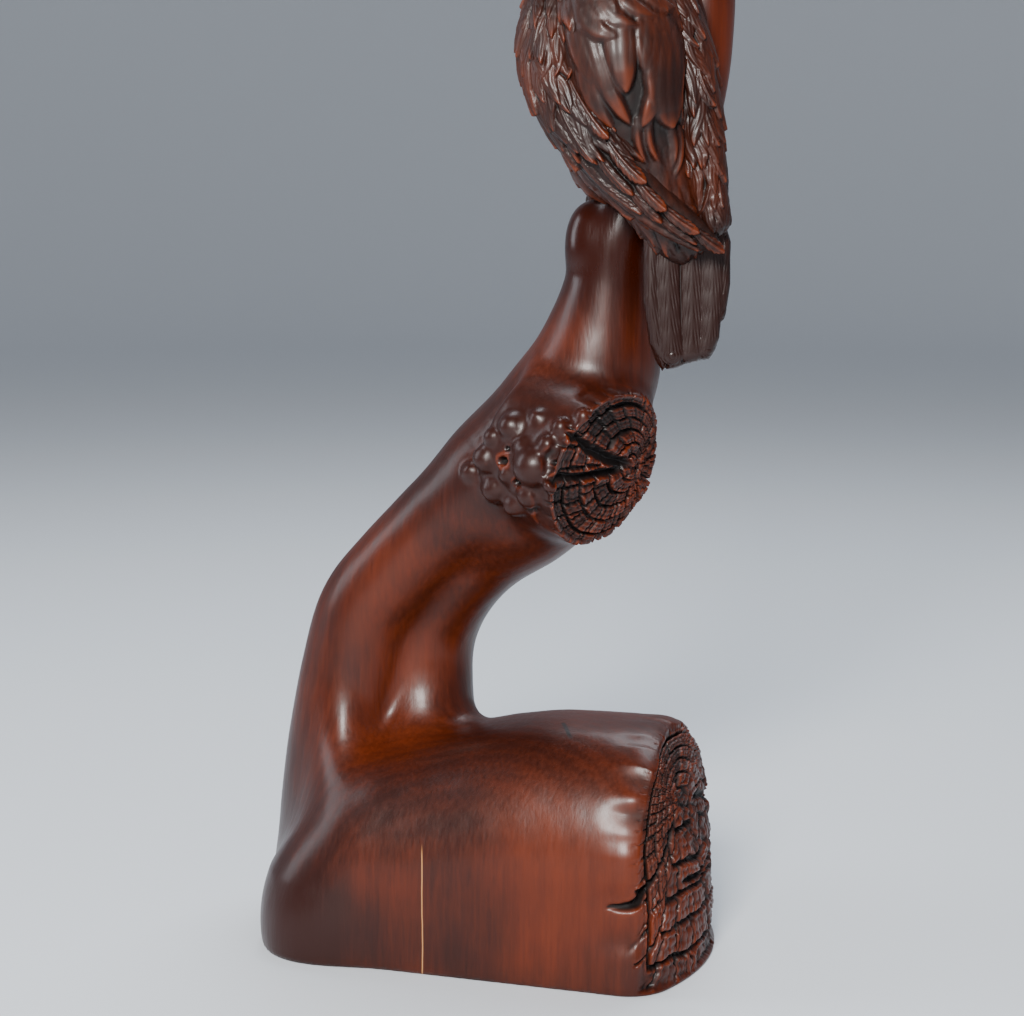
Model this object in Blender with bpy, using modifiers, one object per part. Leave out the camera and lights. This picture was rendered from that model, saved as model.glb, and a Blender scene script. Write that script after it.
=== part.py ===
"""Carved wooden figurine: a bird of prey perched on a root-wood trunk that rises from a lying log.

The model is pieced the way a pegged and glued carving is: a log base, the trunk, the bird's body, head,
wings, tail, feet and eyes, and the pegs inside. Lengths below are millimetres and MM turns them into
metres. The origin is the middle of the log's resting face, +Z is up, and the bird's back faces -Y.
"""

import math

import bmesh
import bpy
from mathutils import Matrix, Vector

MM = 0.001
GAP = 0.3

# The lying log: half its depth, its height, and where its two ends lie along its own axis.
LOG_TURN = math.radians(-17.0)
LOG_HALF_DEPTH = 33.0
LOG_ACROSS = -8.0
LOG_HEIGHT = 61.2
LOG_SHOULDER = 27.0
LOG_LEFT_END = -44.0
LOG_RIGHT_END = 49.5
LOG_RIM = 4.0
GROUND_CUT = 6.0
# The rounded left nose and the bulged right end: each a centre on the log and its reach each way.
LOG_NOSE = ((-41.0, -11.0, 6.0), (17.2, 28.0, 19.8))
LOG_BULGE = ((29.0, -11.0, 14.0), (29.4, 31.0, 46.5))

# The glue line between log and trunk crosses the log's axis at this height and rises to the right.
SEAM_HEIGHT = 62.6
SEAM_TILT = math.radians(28.0)

# The sawn stub on the trunk's burl.
STUB_CENTRE = Vector((27.0, -25.5, 125.5))
STUB_NORMAL = Vector((0.712, -0.646, -0.267)).normalized()
STUB_RADIUS = 20.2
STUB_LENGTH = 26.0

# The glue line between body and head.
NECK_POINT = Vector((25.0, -26.0, 243.0))
NECK_NORMAL = Vector((-0.18, -0.05, 0.98)).normalized()

PEG_RADIUS = 2.5
SMALL_PEG_RADIUS = 1.5
EYE_RADIUS = 1.5

# Each limb is a row of stations: x, y, z and the radius there.
TRUNK_LEFT_LOBE = [
    (-44.0, 15.0, -6.0, 16.8),
    (-44.0, 15.0, 12.0, 16.8),
    (-43.0, 15.0, 30.0, 16.6),
    (-41.4, 14.0, 50.0, 15.6),
    (-39.0, 13.5, 68.0, 14.8),
    (-34.5, 12.5, 84.0, 14.2),
    (-25.5, 9.5, 96.5, 13.6),
    (-14.0, 5.5, 109.0, 13.6),
    (-3.5, 1.0, 120.0, 13.4),
]
TRUNK_RIGHT_LOBE = [
    (-22.0, 4.0, 34.0, 20.0),
    (-20.8, 6.0, 52.0, 15.6),
    (-19.6, 7.5, 66.0, 13.0),
    (-18.6, 8.0, 78.0, 12.6),
    (-12.0, 5.0, 91.5, 12.0),
    (-1.5, 0.5, 103.0, 11.8),
    (9.5, -5.0, 113.0, 12.2),
    (17.0, -10.0, 120.0, 13.6),
]
TRUNK_BACK = [
    (-36.0, 22.0, -6.0, 17.0),
    (-35.0, 22.0, 14.0, 17.4),
    (-34.0, 22.0, 34.0, 18.4),
    (-31.0, 20.0, 56.0, 19.0),
    (-28.0, 18.0, 76.0, 18.0),
    (-19.0, 14.0, 93.0, 16.0),
    (-6.0, 8.0, 108.0, 15.0),
    (4.0, 2.0, 122.0, 15.5),
]
TRUNK_UPPER = [
    (4.0, 0.0, 117.0, 18.4),
    (13.0, -4.0, 131.0, 19.4),
    (23.0, -7.5, 147.0, 17.4),
    (26.4, -9.5, 160.0, 14.3),
    (28.0, -11.0, 171.0, 11.9),
    (29.6, -12.0, 182.0, 11.0),
    (37.5, -13.0, 197.0, 9.6),
    (46.0, -13.0, 213.0, 8.6),
    (49.6, -12.0, 238.0, 8.0),
    (49.0, -11.5, 262.0, 7.0),
    (46.0, -11.0, 283.0, 6.0),
    (43.0, -10.5, 296.0, 4.6),
]
BURL_BUMPS = [
    (7.8, -16.5, 128.0, 6.0),
    (-3.5, -12.0, 128.5, 4.6),
    (2.7, -14.0, 137.0, 4.6),
    (-1.0, -13.0, 121.0, 4.4),
    (8.0, -17.0, 119.5, 4.2),
    (14.5, -19.0, 138.5, 3.4),
    (0.0, -3.0, 131.0, 6.5),
]
PERCH_KNOB = (20.8, -13.5, 184.0, 5.6)

BODY = [
    (25.0, -26.0, 252.0, 11.0),
    (26.0, -27.0, 240.0, 15.5),
    (28.0, -27.5, 225.0, 18.8),
    (32.5, -27.5, 209.0, 16.2),
    (39.0, -28.5, 194.0, 10.5),
    (43.0, -29.5, 184.0, 7.5),
]
BELLY = [
    (27.0, -22.0, 214.0, 14.0),
    (25.5, -19.0, 202.5, 8.6),
    (25.0, -17.0, 197.5, 5.6),
]
HEAD = [
    (25.5, -26.5, 238.0, 15.0),
    (24.0, -26.5, 247.0, 11.6),
    (21.0, -27.0, 256.0, 10.2),
    (18.5, -27.5, 260.0, 8.6),
]
BEAK = [
    (17.0, -28.0, 259.0, 5.0),
    (10.5, -29.0, 258.0, 3.8),
    (5.6, -30.0, 255.2, 2.3),
    (4.2, -30.4, 251.8, 1.1),
]
LEFT_WING = [
    (15.0, -28.0, 239.0, 9.0),
    (13.4, -29.5, 229.0, 9.8),
    (16.0, -32.0, 217.0, 9.6),
    (24.0, -35.0, 204.5, 8.8),
    (36.0, -37.5, 191.5, 6.6),
    (48.0, -38.0, 183.0, 4.4),
    (52.5, -38.0, 180.8, 2.4),
]
RIGHT_WING = [
    (41.0, -28.0, 238.0, 7.6),
    (43.8, -30.0, 227.0, 7.6),
    (46.4, -32.0, 213.0, 7.4),
    (48.6, -34.0, 199.0, 6.0),
    (51.5, -36.0, 187.5, 3.8),
]
TAIL_OUTLINE = [
    (35.5, 192.0),
    (34.0, 182.0),
    (33.9, 168.0),
    (36.0, 157.0),
    (39.4, 150.6),
    (51.0, 153.6),
    (54.0, 158.6),
    (56.2, 172.0),
    (56.0, 182.0),
    (53.0, 192.0),
]
TAIL_DEPTH = 8.4
TAIL_BACK = -29.5

WOOD_COLOUR = (0.19, 0.045, 0.013, 1.0)
DARK_WOOD_COLOUR = (0.10, 0.024, 0.008, 1.0)
PEG_COLOUR = (0.42, 0.27, 0.12, 1.0)
EYE_COLOUR = (0.012, 0.009, 0.008, 1.0)


def clear_scene():
    for item in list(bpy.data.objects):
        bpy.data.objects.remove(item, do_unlink=True)


def new_collection(name):
    group = bpy.data.collections.new(name)
    bpy.context.scene.collection.children.link(group)
    return group


def new_material(name, colour, roughness):
    finish = bpy.data.materials.new(name)
    finish.use_nodes = True
    shader = finish.node_tree.nodes["Principled BSDF"]
    shader.inputs["Base Color"].default_value = colour
    shader.inputs["Roughness"].default_value = roughness
    shader.inputs["Metallic"].default_value = 0.0
    finish.diffuse_color = colour
    return finish


def on_log(along, across, up):
    """A point in the log's own frame, along its axis and across it, as a point of the figurine."""
    turned = Matrix.Rotation(LOG_TURN, 4, "Z") @ Vector((along, across, up))
    return turned


def mesh_object(name, mesh, group):
    item = bpy.data.objects.new(name, mesh)
    group.objects.link(item)
    return item


def freeze(item):
    """Applies an object's modifiers, and turns a curve into a mesh with its caps welded."""
    graph = bpy.context.evaluated_depsgraph_get()
    mesh = bpy.data.meshes.new_from_object(item.evaluated_get(graph))
    shape = bmesh.new()
    shape.from_mesh(mesh)
    bmesh.ops.transform(shape, matrix=item.matrix_world, verts=shape.verts)
    bmesh.ops.remove_doubles(shape, verts=shape.verts, dist=0.01 * MM)
    shape.to_mesh(mesh)
    shape.free()
    frozen = mesh_object(item.name + "_mesh", mesh, item.users_collection[0])
    bpy.data.objects.remove(item, do_unlink=True)
    return frozen


def limb(stations, group):
    """A round limb that follows its stations and swells and thins with their radii."""
    curve = bpy.data.curves.new("limb", "CURVE")
    curve.dimensions = "3D"
    curve.bevel_depth = MM
    curve.bevel_resolution = 5
    curve.resolution_u = 6
    curve.use_fill_caps = True
    spline = curve.splines.new("BEZIER")
    spline.bezier_points.add(len(stations) - 1)
    for point, (x, y, z, radius) in zip(spline.bezier_points, stations):
        point.co = Vector((x, y, z)) * MM
        point.radius = radius
        point.handle_left_type = "AUTO"
        point.handle_right_type = "AUTO"
    return freeze(mesh_object("limb", curve, group))


def ball(centre, radius, group, stretch=(1.0, 1.0, 1.0), sides=20):
    mesh = bpy.data.meshes.new("ball")
    shape = bmesh.new()
    bmesh.ops.create_uvsphere(shape, u_segments=sides, v_segments=sides // 2, radius=radius * MM)
    bmesh.ops.scale(shape, vec=stretch, verts=shape.verts)
    bmesh.ops.translate(shape, vec=Vector(centre) * MM, verts=shape.verts)
    shape.to_mesh(mesh)
    shape.free()
    return mesh_object("ball", mesh, group)


def round_bar(name, start, end, radius, group, sides=16):
    """A closed cylinder from one point to another."""
    start = Vector(start)
    end = Vector(end)
    mesh = bpy.data.meshes.new(name)
    shape = bmesh.new()
    bmesh.ops.create_cone(shape, cap_ends=True, segments=sides, radius1=radius * MM,
                          radius2=radius * MM, depth=(end - start).length * MM)
    turn = (end - start).to_track_quat("Z", "Y").to_matrix().to_4x4()
    place = Matrix.Translation((start + end) / 2 * MM) @ turn
    bmesh.ops.transform(shape, matrix=place, verts=shape.verts)
    shape.to_mesh(mesh)
    shape.free()
    return mesh_object(name, mesh, group)


def outline_plate(points, depth, rim, place, group):
    """A flat outline of rounded edge, given a thickness and moved into place."""
    curve = bpy.data.curves.new("outline", "CURVE")
    curve.dimensions = "2D"
    curve.fill_mode = "BOTH"
    curve.extrude = (depth / 2 - rim) * MM
    curve.bevel_depth = rim * MM
    curve.bevel_resolution = 3
    curve.offset = -rim * MM
    spline = curve.splines.new("POLY")
    spline.points.add(len(points) - 1)
    for point, (across, up) in zip(spline.points, points):
        point.co = (across * MM, up * MM, 0.0, 1.0)
    spline.use_cyclic_u = True
    plate = mesh_object("outline", curve, group)
    plate.matrix_world = place
    bpy.context.view_layer.update()
    return freeze(plate)


def slab(name, point, normal, side, group):
    """A big block whose face lies on a plane and that fills the side its normal points away from."""
    mesh = bpy.data.meshes.new(name)
    shape = bmesh.new()
    bmesh.ops.create_cube(shape, size=side * MM)
    turn = Vector(normal).to_track_quat("Z", "Y").to_matrix().to_4x4()
    centre = Vector(point) - Vector(normal).normalized() * (side / 2)
    bmesh.ops.transform(shape, matrix=Matrix.Translation(centre * MM) @ turn, verts=shape.verts)
    shape.to_mesh(mesh)
    shape.free()
    return mesh_object(name, mesh, group)


def keep_largest(item):
    """Drops the crumbs that a cut leaves beside the main body."""
    shape = bmesh.new()
    shape.from_mesh(item.data)
    left = set(shape.verts)
    islands = []
    while left:
        island = set()
        stack = [left.pop()]
        while stack:
            corner = stack.pop()
            island.add(corner)
            for edge in corner.link_edges:
                other = edge.other_vert(corner)
                if other in left:
                    left.discard(other)
                    stack.append(other)
        islands.append(island)
    islands.sort(key=len)
    crumbs = [corner for island in islands[:-1] for corner in island]
    bmesh.ops.delete(shape, geom=crumbs, context="VERTS")
    shape.to_mesh(item.data)
    shape.free()


def blend(name, pieces, voxel, rounds, triangles, group):
    """Melts overlapping pieces into one smooth closed body of about the wanted triangle count."""
    shape = bmesh.new()
    for piece in pieces:
        shape.from_mesh(piece.data)
        bpy.data.objects.remove(piece, do_unlink=True)
    mesh = bpy.data.meshes.new(name)
    shape.to_mesh(mesh)
    shape.free()
    item = mesh_object(name, mesh, group)
    melt = item.modifiers.new("melt", "REMESH")
    melt.mode = "VOXEL"
    melt.voxel_size = voxel * MM
    soften = item.modifiers.new("soften", "SMOOTH")
    soften.factor = 0.5
    soften.iterations = rounds
    item = freeze(item)
    item.name = name
    keep_largest(item)
    thin = item.modifiers.new("thin", "DECIMATE")
    thin.ratio = min(1.0, triangles / (2 * len(item.data.polygons)))
    item = freeze(item)
    item.name = name
    return item


def copy_of(item, name, group):
    return mesh_object(name, item.data.copy(), group)


def swollen(item, by, group):
    """A copy of a piece grown outwards, which leaves a glue gap when it is cut away from a neighbour."""
    grown = copy_of(item, item.name + "_swollen", group)
    shape = bmesh.new()
    shape.from_mesh(grown.data)
    shape.normal_update()
    moves = [(corner, corner.normal * corner.calc_shell_factor() * by * MM) for corner in shape.verts]
    for corner, move in moves:
        corner.co += move
    shape.to_mesh(grown.data)
    shape.free()
    return grown


def cut(item, cutter, operation="DIFFERENCE"):
    """Cuts a piece with the exact solver and keeps its main body."""
    name = item.name
    carve = item.modifiers.new("carve", "BOOLEAN")
    carve.operation = operation
    carve.solver = "EXACT"
    carve.object = cutter
    carved = freeze(item)
    carved.name = name
    keep_largest(carved)
    return carved


def hide_cutter(cutter, group):
    cutter.hide_render = True
    cutter.display_type = "WIRE"
    for owner in list(cutter.users_collection):
        owner.objects.unlink(cutter)
    group.objects.link(cutter)


def log_section():
    """The log's end outline: straight sides, a round top and a foot below the ground cut."""
    points = [(-LOG_HALF_DEPTH, -GROUND_CUT), (LOG_HALF_DEPTH, -GROUND_CUT)]
    steps = 20
    for step in range(steps + 1):
        angle = math.pi * step / steps
        across = math.copysign(abs(math.cos(angle)) ** 0.86, math.cos(angle)) * LOG_HALF_DEPTH
        up = LOG_SHOULDER + math.sin(angle) ** 0.86 * (LOG_HEIGHT - LOG_SHOULDER)
        points.append((across, up))
    return points


def make_wood(group):
    """Log and trunk as one grown form, before the glue line divides it."""
    length = LOG_RIGHT_END - LOG_LEFT_END
    middle = on_log((LOG_RIGHT_END + LOG_LEFT_END) / 2, LOG_ACROSS, 0.0) * MM
    stand = Matrix.Rotation(LOG_TURN, 4, "Z") @ Matrix.Rotation(math.radians(90), 4, "Z")
    stand = stand @ Matrix.Rotation(math.radians(90), 4, "X")
    log = outline_plate(log_section(), length, LOG_RIM, Matrix.Translation(middle) @ stand, group)
    pieces = [log]
    for centre, reach in (LOG_NOSE, LOG_BULGE):
        lump = ball((0, 0, 0), 1.0, group, stretch=reach)
        lump.matrix_world = Matrix.Translation(on_log(*centre) * MM) @ Matrix.Rotation(LOG_TURN, 4, "Z")
        bpy.context.view_layer.update()
        pieces.append(freeze(lump))
    for stations in (TRUNK_LEFT_LOBE, TRUNK_RIGHT_LOBE, TRUNK_BACK, TRUNK_UPPER):
        pieces.append(limb(stations, group))
    stub_root = STUB_CENTRE - STUB_NORMAL * STUB_LENGTH
    pieces.append(round_bar("stub", stub_root, STUB_CENTRE, STUB_RADIUS, group, sides=32))
    rounded_ends = [TRUNK_LEFT_LOBE[-1], TRUNK_RIGHT_LOBE[-1], TRUNK_BACK[-1], TRUNK_UPPER[-1]]
    for x, y, z, radius in BURL_BUMPS + [PERCH_KNOB] + rounded_ends:
        pieces.append(ball((x, y, z), radius, group))
    wood = blend("wood", pieces, voxel=1.3, rounds=26, triangles=3800, group=group)
    ground = slab("ground", (0, 0, 0), (0, 0, 1), 400.0, group)
    wood = cut(wood, ground)
    bpy.data.objects.remove(ground, do_unlink=True)
    return wood


def seam_point(along):
    return on_log(along, 0.0, SEAM_HEIGHT + math.tan(SEAM_TILT) * along)


def seam_normal():
    return (on_log(-math.sin(SEAM_TILT), 0.0, math.cos(SEAM_TILT))).normalized()


def split(item, lower_name, upper_name, point, normal, group):
    """Divides a form at a plane and leaves the glue gap between the halves."""
    half_gap = Vector(normal) * (GAP / 2)
    below = slab("below", Vector(point) + half_gap, normal, 600.0, group)
    above = slab("above", Vector(point) - half_gap, -Vector(normal), 600.0, group)
    lower = cut(copy_of(item, lower_name, group), above)
    upper = cut(copy_of(item, upper_name, group), below)
    for cutter in (item, below, above):
        bpy.data.objects.remove(cutter, do_unlink=True)
    return lower, upper


def peg(name, hosts, start, end, radius, group, cutters):
    """Bores both hosts and puts a peg in the bore, clear of it all round."""
    start = Vector(start)
    end = Vector(end)
    axis = (end - start).normalized()
    bore = round_bar(name + "_bore", start - axis * GAP, end + axis * GAP, radius + GAP, group)
    bored = [cut(host, bore) for host in hosts]
    hide_cutter(bore, cutters)
    return round_bar(name, start, end, radius, group), bored


def make_foot(name, ankle, toes, group):
    """A clutching foot: an ankle and its toes, each a thinning limb that ends in a claw."""
    pieces = [ball(ankle, 2.7, group)]
    for toe in toes:
        pieces.append(limb([(ankle[0], ankle[1], ankle[2], 2.0)] + toe, group))
    return blend(name, pieces, voxel=0.5, rounds=2, triangles=420, group=group)


def toe_row(ankle, reach, drop, spread):
    """Three toes forward and one back, arched over the wood."""
    toes = []
    for turn in (-spread, 0.0, spread):
        sideways = math.sin(turn)
        forward = math.cos(turn)
        toes.append([
            (ankle[0] + sideways * reach * 0.5, ankle[1] + forward * reach * 0.5, ankle[2] - 0.2, 1.7),
            (ankle[0] + sideways * reach, ankle[1] + forward * reach, ankle[2] - drop * 0.45, 1.5),
            (ankle[0] + sideways * reach * 1.15, ankle[1] + forward * reach * 1.2, ankle[2] - drop, 0.7),
        ])
    toes.append([
        (ankle[0] - 1.0, ankle[1] - reach * 0.4, ankle[2] - drop * 0.4, 1.6),
        (ankle[0] - 1.6, ankle[1] - reach * 0.55, ankle[2] - drop, 0.8),
    ])
    return toes


def finish_piece(item, name, finish, group):
    """Names a piece, gives it its finish and smooth shading, and moves it to the figurine."""
    item.name = name
    item.data.name = name
    item.data.materials.clear()
    item.data.materials.append(finish)
    item.data.shade_smooth()
    item.data.set_sharp_from_angle(angle=math.radians(40))
    for owner in list(item.users_collection):
        owner.objects.unlink(item)
    group.objects.link(item)


def main():
    clear_scene()
    figurine = new_collection("carved_figurine")
    cutters = new_collection("cutters")
    bench = new_collection("bench")
    wood_finish = new_material("stained_wood", WOOD_COLOUR, 0.32)
    dark_finish = new_material("shaded_stained_wood", DARK_WOOD_COLOUR, 0.36)
    peg_finish = new_material("plain_peg_wood", PEG_COLOUR, 0.6)
    eye_finish = new_material("black_eye_bead", EYE_COLOUR, 0.08)

    wood = make_wood(bench)
    log_base, trunk = split(wood, "log_base", "trunk", seam_point(0.0), seam_normal(), bench)

    pieces = [limb(BODY, bench), limb(BELLY, bench), ball(BODY[2][:3], 19.6, bench)]
    torso = blend("torso", pieces, voxel=0.9, rounds=5, triangles=1300, group=bench)
    pieces = [limb(HEAD, bench), limb(BEAK, bench), ball(HEAD[2][:3], 10.8, bench)]
    skull = blend("skull", pieces, voxel=0.6, rounds=2, triangles=900, group=bench)
    half_gap = NECK_NORMAL * (GAP / 2)
    above_neck = slab("above_neck", NECK_POINT - half_gap, -NECK_NORMAL, 300.0, bench)
    below_neck = slab("below_neck", NECK_POINT + half_gap, NECK_NORMAL, 300.0, bench)
    torso = cut(torso, above_neck)
    skull = cut(skull, below_neck)

    fat_trunk = swollen(trunk, GAP, bench)
    torso = cut(torso, fat_trunk)
    fat_torso = swollen(torso, GAP, bench)
    fat_skull = swollen(skull, GAP, bench)
    wings = []
    for name, stations in (("left_wing", LEFT_WING), ("right_wing", RIGHT_WING)):
        wing = blend(name, [limb(stations, bench)], voxel=0.8, rounds=3, triangles=520, group=bench)
        for neighbour in (fat_torso, fat_trunk, fat_skull):
            wing = cut(wing, neighbour)
        wings.append(wing)
    left_wing, right_wing = wings
    fat_left_wing = swollen(left_wing, GAP, bench)
    right_wing = cut(right_wing, fat_left_wing)
    fat_right_wing = swollen(right_wing, GAP, bench)

    hang = Matrix.Translation((0, TAIL_BACK * MM, 0)) @ Matrix.Rotation(math.radians(90), 4, "X")
    tail = outline_plate(TAIL_OUTLINE, TAIL_DEPTH, 1.6, hang, bench)
    for neighbour in (fat_torso, fat_trunk, fat_left_wing, fat_right_wing):
        tail = cut(tail, neighbour)

    feet = []
    for name, ankle in (("left_foot", (21.8, -13.5, 193.0)), ("right_foot", (29.5, -12.5, 200.5))):
        foot = make_foot(name, ankle, toe_row(ankle, 7.0, 5.0, math.radians(26)), bench)
        for neighbour in (fat_torso, fat_trunk):
            foot = cut(foot, neighbour)
        feet.append(foot)

    eyes = []
    for name, side in (("left_eye", 1.0), ("right_eye", -1.0)):
        centre = Vector((17.4, -27.4 + side * 8.4, 260.4))
        socket = ball(centre, EYE_RADIUS + GAP, bench, sides=12)
        skull = cut(skull, socket)
        hide_cutter(socket, cutters)
        eye = ball(centre, EYE_RADIUS, bench, sides=12)
        eyes.append((name, eye))

    pegs = []
    for name, along in (("trunk_peg_1", -44.0), ("trunk_peg_2", -20.0)):
        start = seam_point(along) - seam_normal() * 11
        end = seam_point(along) + seam_normal() * 11
        made, (log_base, trunk) = peg(name, (log_base, trunk), start, end, PEG_RADIUS, bench, cutters)
        pegs.append((name, made))
    made, (torso, skull) = peg("head_peg", (torso, skull), NECK_POINT - NECK_NORMAL * 8,
                               NECK_POINT + NECK_NORMAL * 8, PEG_RADIUS, bench, cutters)
    pegs.append(("head_peg", made))
    spots = (
        ("body_peg_upper", (36.0, -24.0, 224.0), (49.0, -13.0, 226.0)),
        ("body_peg_lower", (32.0, -26.0, 205.0), (39.5, -13.0, 201.0)),
    )
    for name, start, end in spots:
        made, (torso, trunk) = peg(name, (torso, trunk), start, end, SMALL_PEG_RADIUS, bench, cutters)
        pegs.append((name, made))
    made, (torso, left_wing) = peg("left_wing_peg", (torso, left_wing), (16.5, -29.0, 224.0),
                                   (7.5, -30.5, 225.5), SMALL_PEG_RADIUS, bench, cutters)
    pegs.append(("left_wing_peg", made))
    made, (torso, right_wing) = peg("right_wing_peg", (torso, right_wing), (40.0, -31.0, 222.0),
                                    (49.0, -33.0, 221.0), SMALL_PEG_RADIUS, bench, cutters)
    pegs.append(("right_wing_peg", made))
    made, (torso, tail) = peg("tail_peg", (torso, tail), (42.5, -29.5, 189.0),
                              (45.0, -29.5, 172.0), SMALL_PEG_RADIUS, bench, cutters)
    pegs.append(("tail_peg", made))

    finish_piece(log_base, "log_base", wood_finish, figurine)
    finish_piece(trunk, "trunk", wood_finish, figurine)
    finish_piece(torso, "bird_body", dark_finish, figurine)
    finish_piece(skull, "bird_head", dark_finish, figurine)
    finish_piece(left_wing, "left_wing", wood_finish, figurine)
    finish_piece(right_wing, "right_wing", wood_finish, figurine)
    finish_piece(tail, "tail", dark_finish, figurine)
    for foot, name in zip(feet, ("left_foot", "right_foot")):
        finish_piece(foot, name, dark_finish, figurine)
    for name, item in pegs:
        finish_piece(item, name, peg_finish, figurine)
    for name, item in eyes:
        finish_piece(item, name, eye_finish, figurine)
    for scrap in list(bench.objects):
        hide_cutter(scrap, cutters)


main()
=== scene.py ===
import math

import bmesh
import bpy
import numpy as np
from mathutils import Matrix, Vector


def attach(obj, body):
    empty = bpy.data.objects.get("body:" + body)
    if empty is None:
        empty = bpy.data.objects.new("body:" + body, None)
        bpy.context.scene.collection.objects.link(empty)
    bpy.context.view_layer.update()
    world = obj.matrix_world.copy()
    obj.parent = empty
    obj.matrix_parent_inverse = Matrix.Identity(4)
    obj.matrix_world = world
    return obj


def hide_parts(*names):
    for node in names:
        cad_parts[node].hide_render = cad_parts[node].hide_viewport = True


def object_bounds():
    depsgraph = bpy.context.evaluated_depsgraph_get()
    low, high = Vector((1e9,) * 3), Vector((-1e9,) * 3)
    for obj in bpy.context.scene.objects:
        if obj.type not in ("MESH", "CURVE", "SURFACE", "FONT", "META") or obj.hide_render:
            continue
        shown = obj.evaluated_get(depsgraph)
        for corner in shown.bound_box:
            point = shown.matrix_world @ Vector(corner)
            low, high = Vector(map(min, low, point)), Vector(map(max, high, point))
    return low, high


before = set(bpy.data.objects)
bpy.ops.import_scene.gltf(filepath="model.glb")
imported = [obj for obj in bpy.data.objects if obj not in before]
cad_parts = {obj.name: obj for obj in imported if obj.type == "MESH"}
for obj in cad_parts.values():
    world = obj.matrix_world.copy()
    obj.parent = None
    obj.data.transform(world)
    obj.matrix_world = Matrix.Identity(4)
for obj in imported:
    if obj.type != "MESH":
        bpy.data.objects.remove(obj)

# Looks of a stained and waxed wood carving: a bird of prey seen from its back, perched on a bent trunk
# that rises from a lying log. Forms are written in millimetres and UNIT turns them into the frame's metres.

cad_low, cad_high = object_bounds()
DESIGN_HEIGHT = 300.0
UNIT = (cad_high.z - cad_low.z) / DESIGN_HEIGHT
NOISE_SEED = 7
LATTICE_SIZE = 32


# ---------------------------------------------------------------- small maths

def row(*numbers):
    return np.array(numbers, float)


def unit(vector):
    return vector / np.linalg.norm(vector, axis=-1, keepdims=True)


def smooth_min(a, b, melt):
    share = np.clip(0.5 + 0.5 * (b - a) / melt, 0.0, 1.0)
    return b + (a - b) * share - melt * share * (1.0 - share)


def smooth_max(a, b, melt):
    return -smooth_min(-a, -b, melt)


def ease(value, low, high):
    """0 below low, 1 above high and a soft step between."""
    share = np.clip((value - low) / (high - low), 0.0, 1.0)
    return share * share * (3.0 - 2.0 * share)


LATTICE = np.random.default_rng(NOISE_SEED).uniform(-1.0, 1.0, (LATTICE_SIZE,) * 3)


def noise(points, size, shift=0.0):
    """Soft seeded noise of about -1 to 1, with lumps of the given size."""
    scaled = points / size + shift
    base = np.floor(scaled).astype(int)
    part = scaled - base
    part = part * part * (3.0 - 2.0 * part)
    total = np.zeros(len(points))
    for corner in np.ndindex(2, 2, 2):
        weight = np.prod(np.where(corner, part, 1.0 - part), axis=1)
        x, y, z = ((base + corner) % LATTICE_SIZE).T
        total += weight * LATTICE[x, y, z]
    return total


def hashed(first, second):
    """A steady pseudo-random number from 0 to 1 for each pair of whole numbers."""
    return LATTICE[first.astype(int) % LATTICE_SIZE, second.astype(int) % LATTICE_SIZE, 5] * 0.5 + 0.5


# ---------------------------------------------------------------- forms as distance fields

def spread(stations, steps=5):
    """Extra stations on a smooth curve through the given ones."""
    rows = np.array(stations, float)
    padded = np.vstack([2 * rows[0] - rows[1], rows, 2 * rows[-1] - rows[-2]])
    made = []
    for before, start, end, after in zip(padded, padded[1:], padded[2:], padded[3:]):
        for step in range(steps):
            t = step / steps
            bend = 2 * before - 5 * start + 4 * end - after
            twist = -before + 3 * start - 3 * end + after
            made.append(0.5 * (2 * start + (end - before) * t + bend * t ** 2 + twist * t ** 3))
    made.append(rows[-1])
    return np.array(made)


def limb(points, stations):
    """Distance to a round limb that swells and thins along its stations."""
    nearest = np.full(len(points), 1e3)
    for start, end in zip(stations, stations[1:]):
        along = end[:3] - start[:3]
        offset = points - start[:3]
        share = np.clip(offset @ along / (along @ along), 0.0, 1.0)
        away = offset - share[:, None] * along
        gap = np.sqrt(np.einsum("ij,ij->i", away, away)) - (start[3] + share * (end[3] - start[3]))
        np.minimum(nearest, gap, out=nearest)
    return nearest


def egg(points, centre, reach):
    """Distance to a ball stretched along the axes."""
    offset = points - centre
    scaled = np.linalg.norm(offset / reach, axis=1) + 1e-9
    slope = np.linalg.norm(offset / reach ** 2, axis=1) + 1e-9
    return scaled * (scaled - 1.0) / slope


LOG_TURN = math.radians(-17.0)
LOG_ALONG = row(math.cos(LOG_TURN), math.sin(LOG_TURN), 0.0)
LOG_ACROSS = row(-math.sin(LOG_TURN), math.cos(LOG_TURN), 0.0)
LOG_MIDDLE = -8.0
LOG_HALF_DEPTH = 33.0
LOG_SHOULDER = 27.0
LOG_TOP = 61.2
LOG_LEFT, LOG_RIGHT = -51.0, 49.5
LOG_ROUNDNESS = 2.3
LOG_BULGE = 9.0
LOG_BULGE_TOP = 62.0

STUB_CENTRE = row(27.0, -25.5, 125.5)
STUB_AXIS = unit(row(0.712, -0.646, -0.267))
STUB_UP = unit(row(0.0, 0.0, 1.0) - STUB_AXIS * STUB_AXIS[2])
STUB_SIDE = np.cross(STUB_UP, STUB_AXIS)
STUB_RADIUS = 20.2
STUB_LENGTH = 26.0
STUB_BULGE = 1.6

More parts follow.
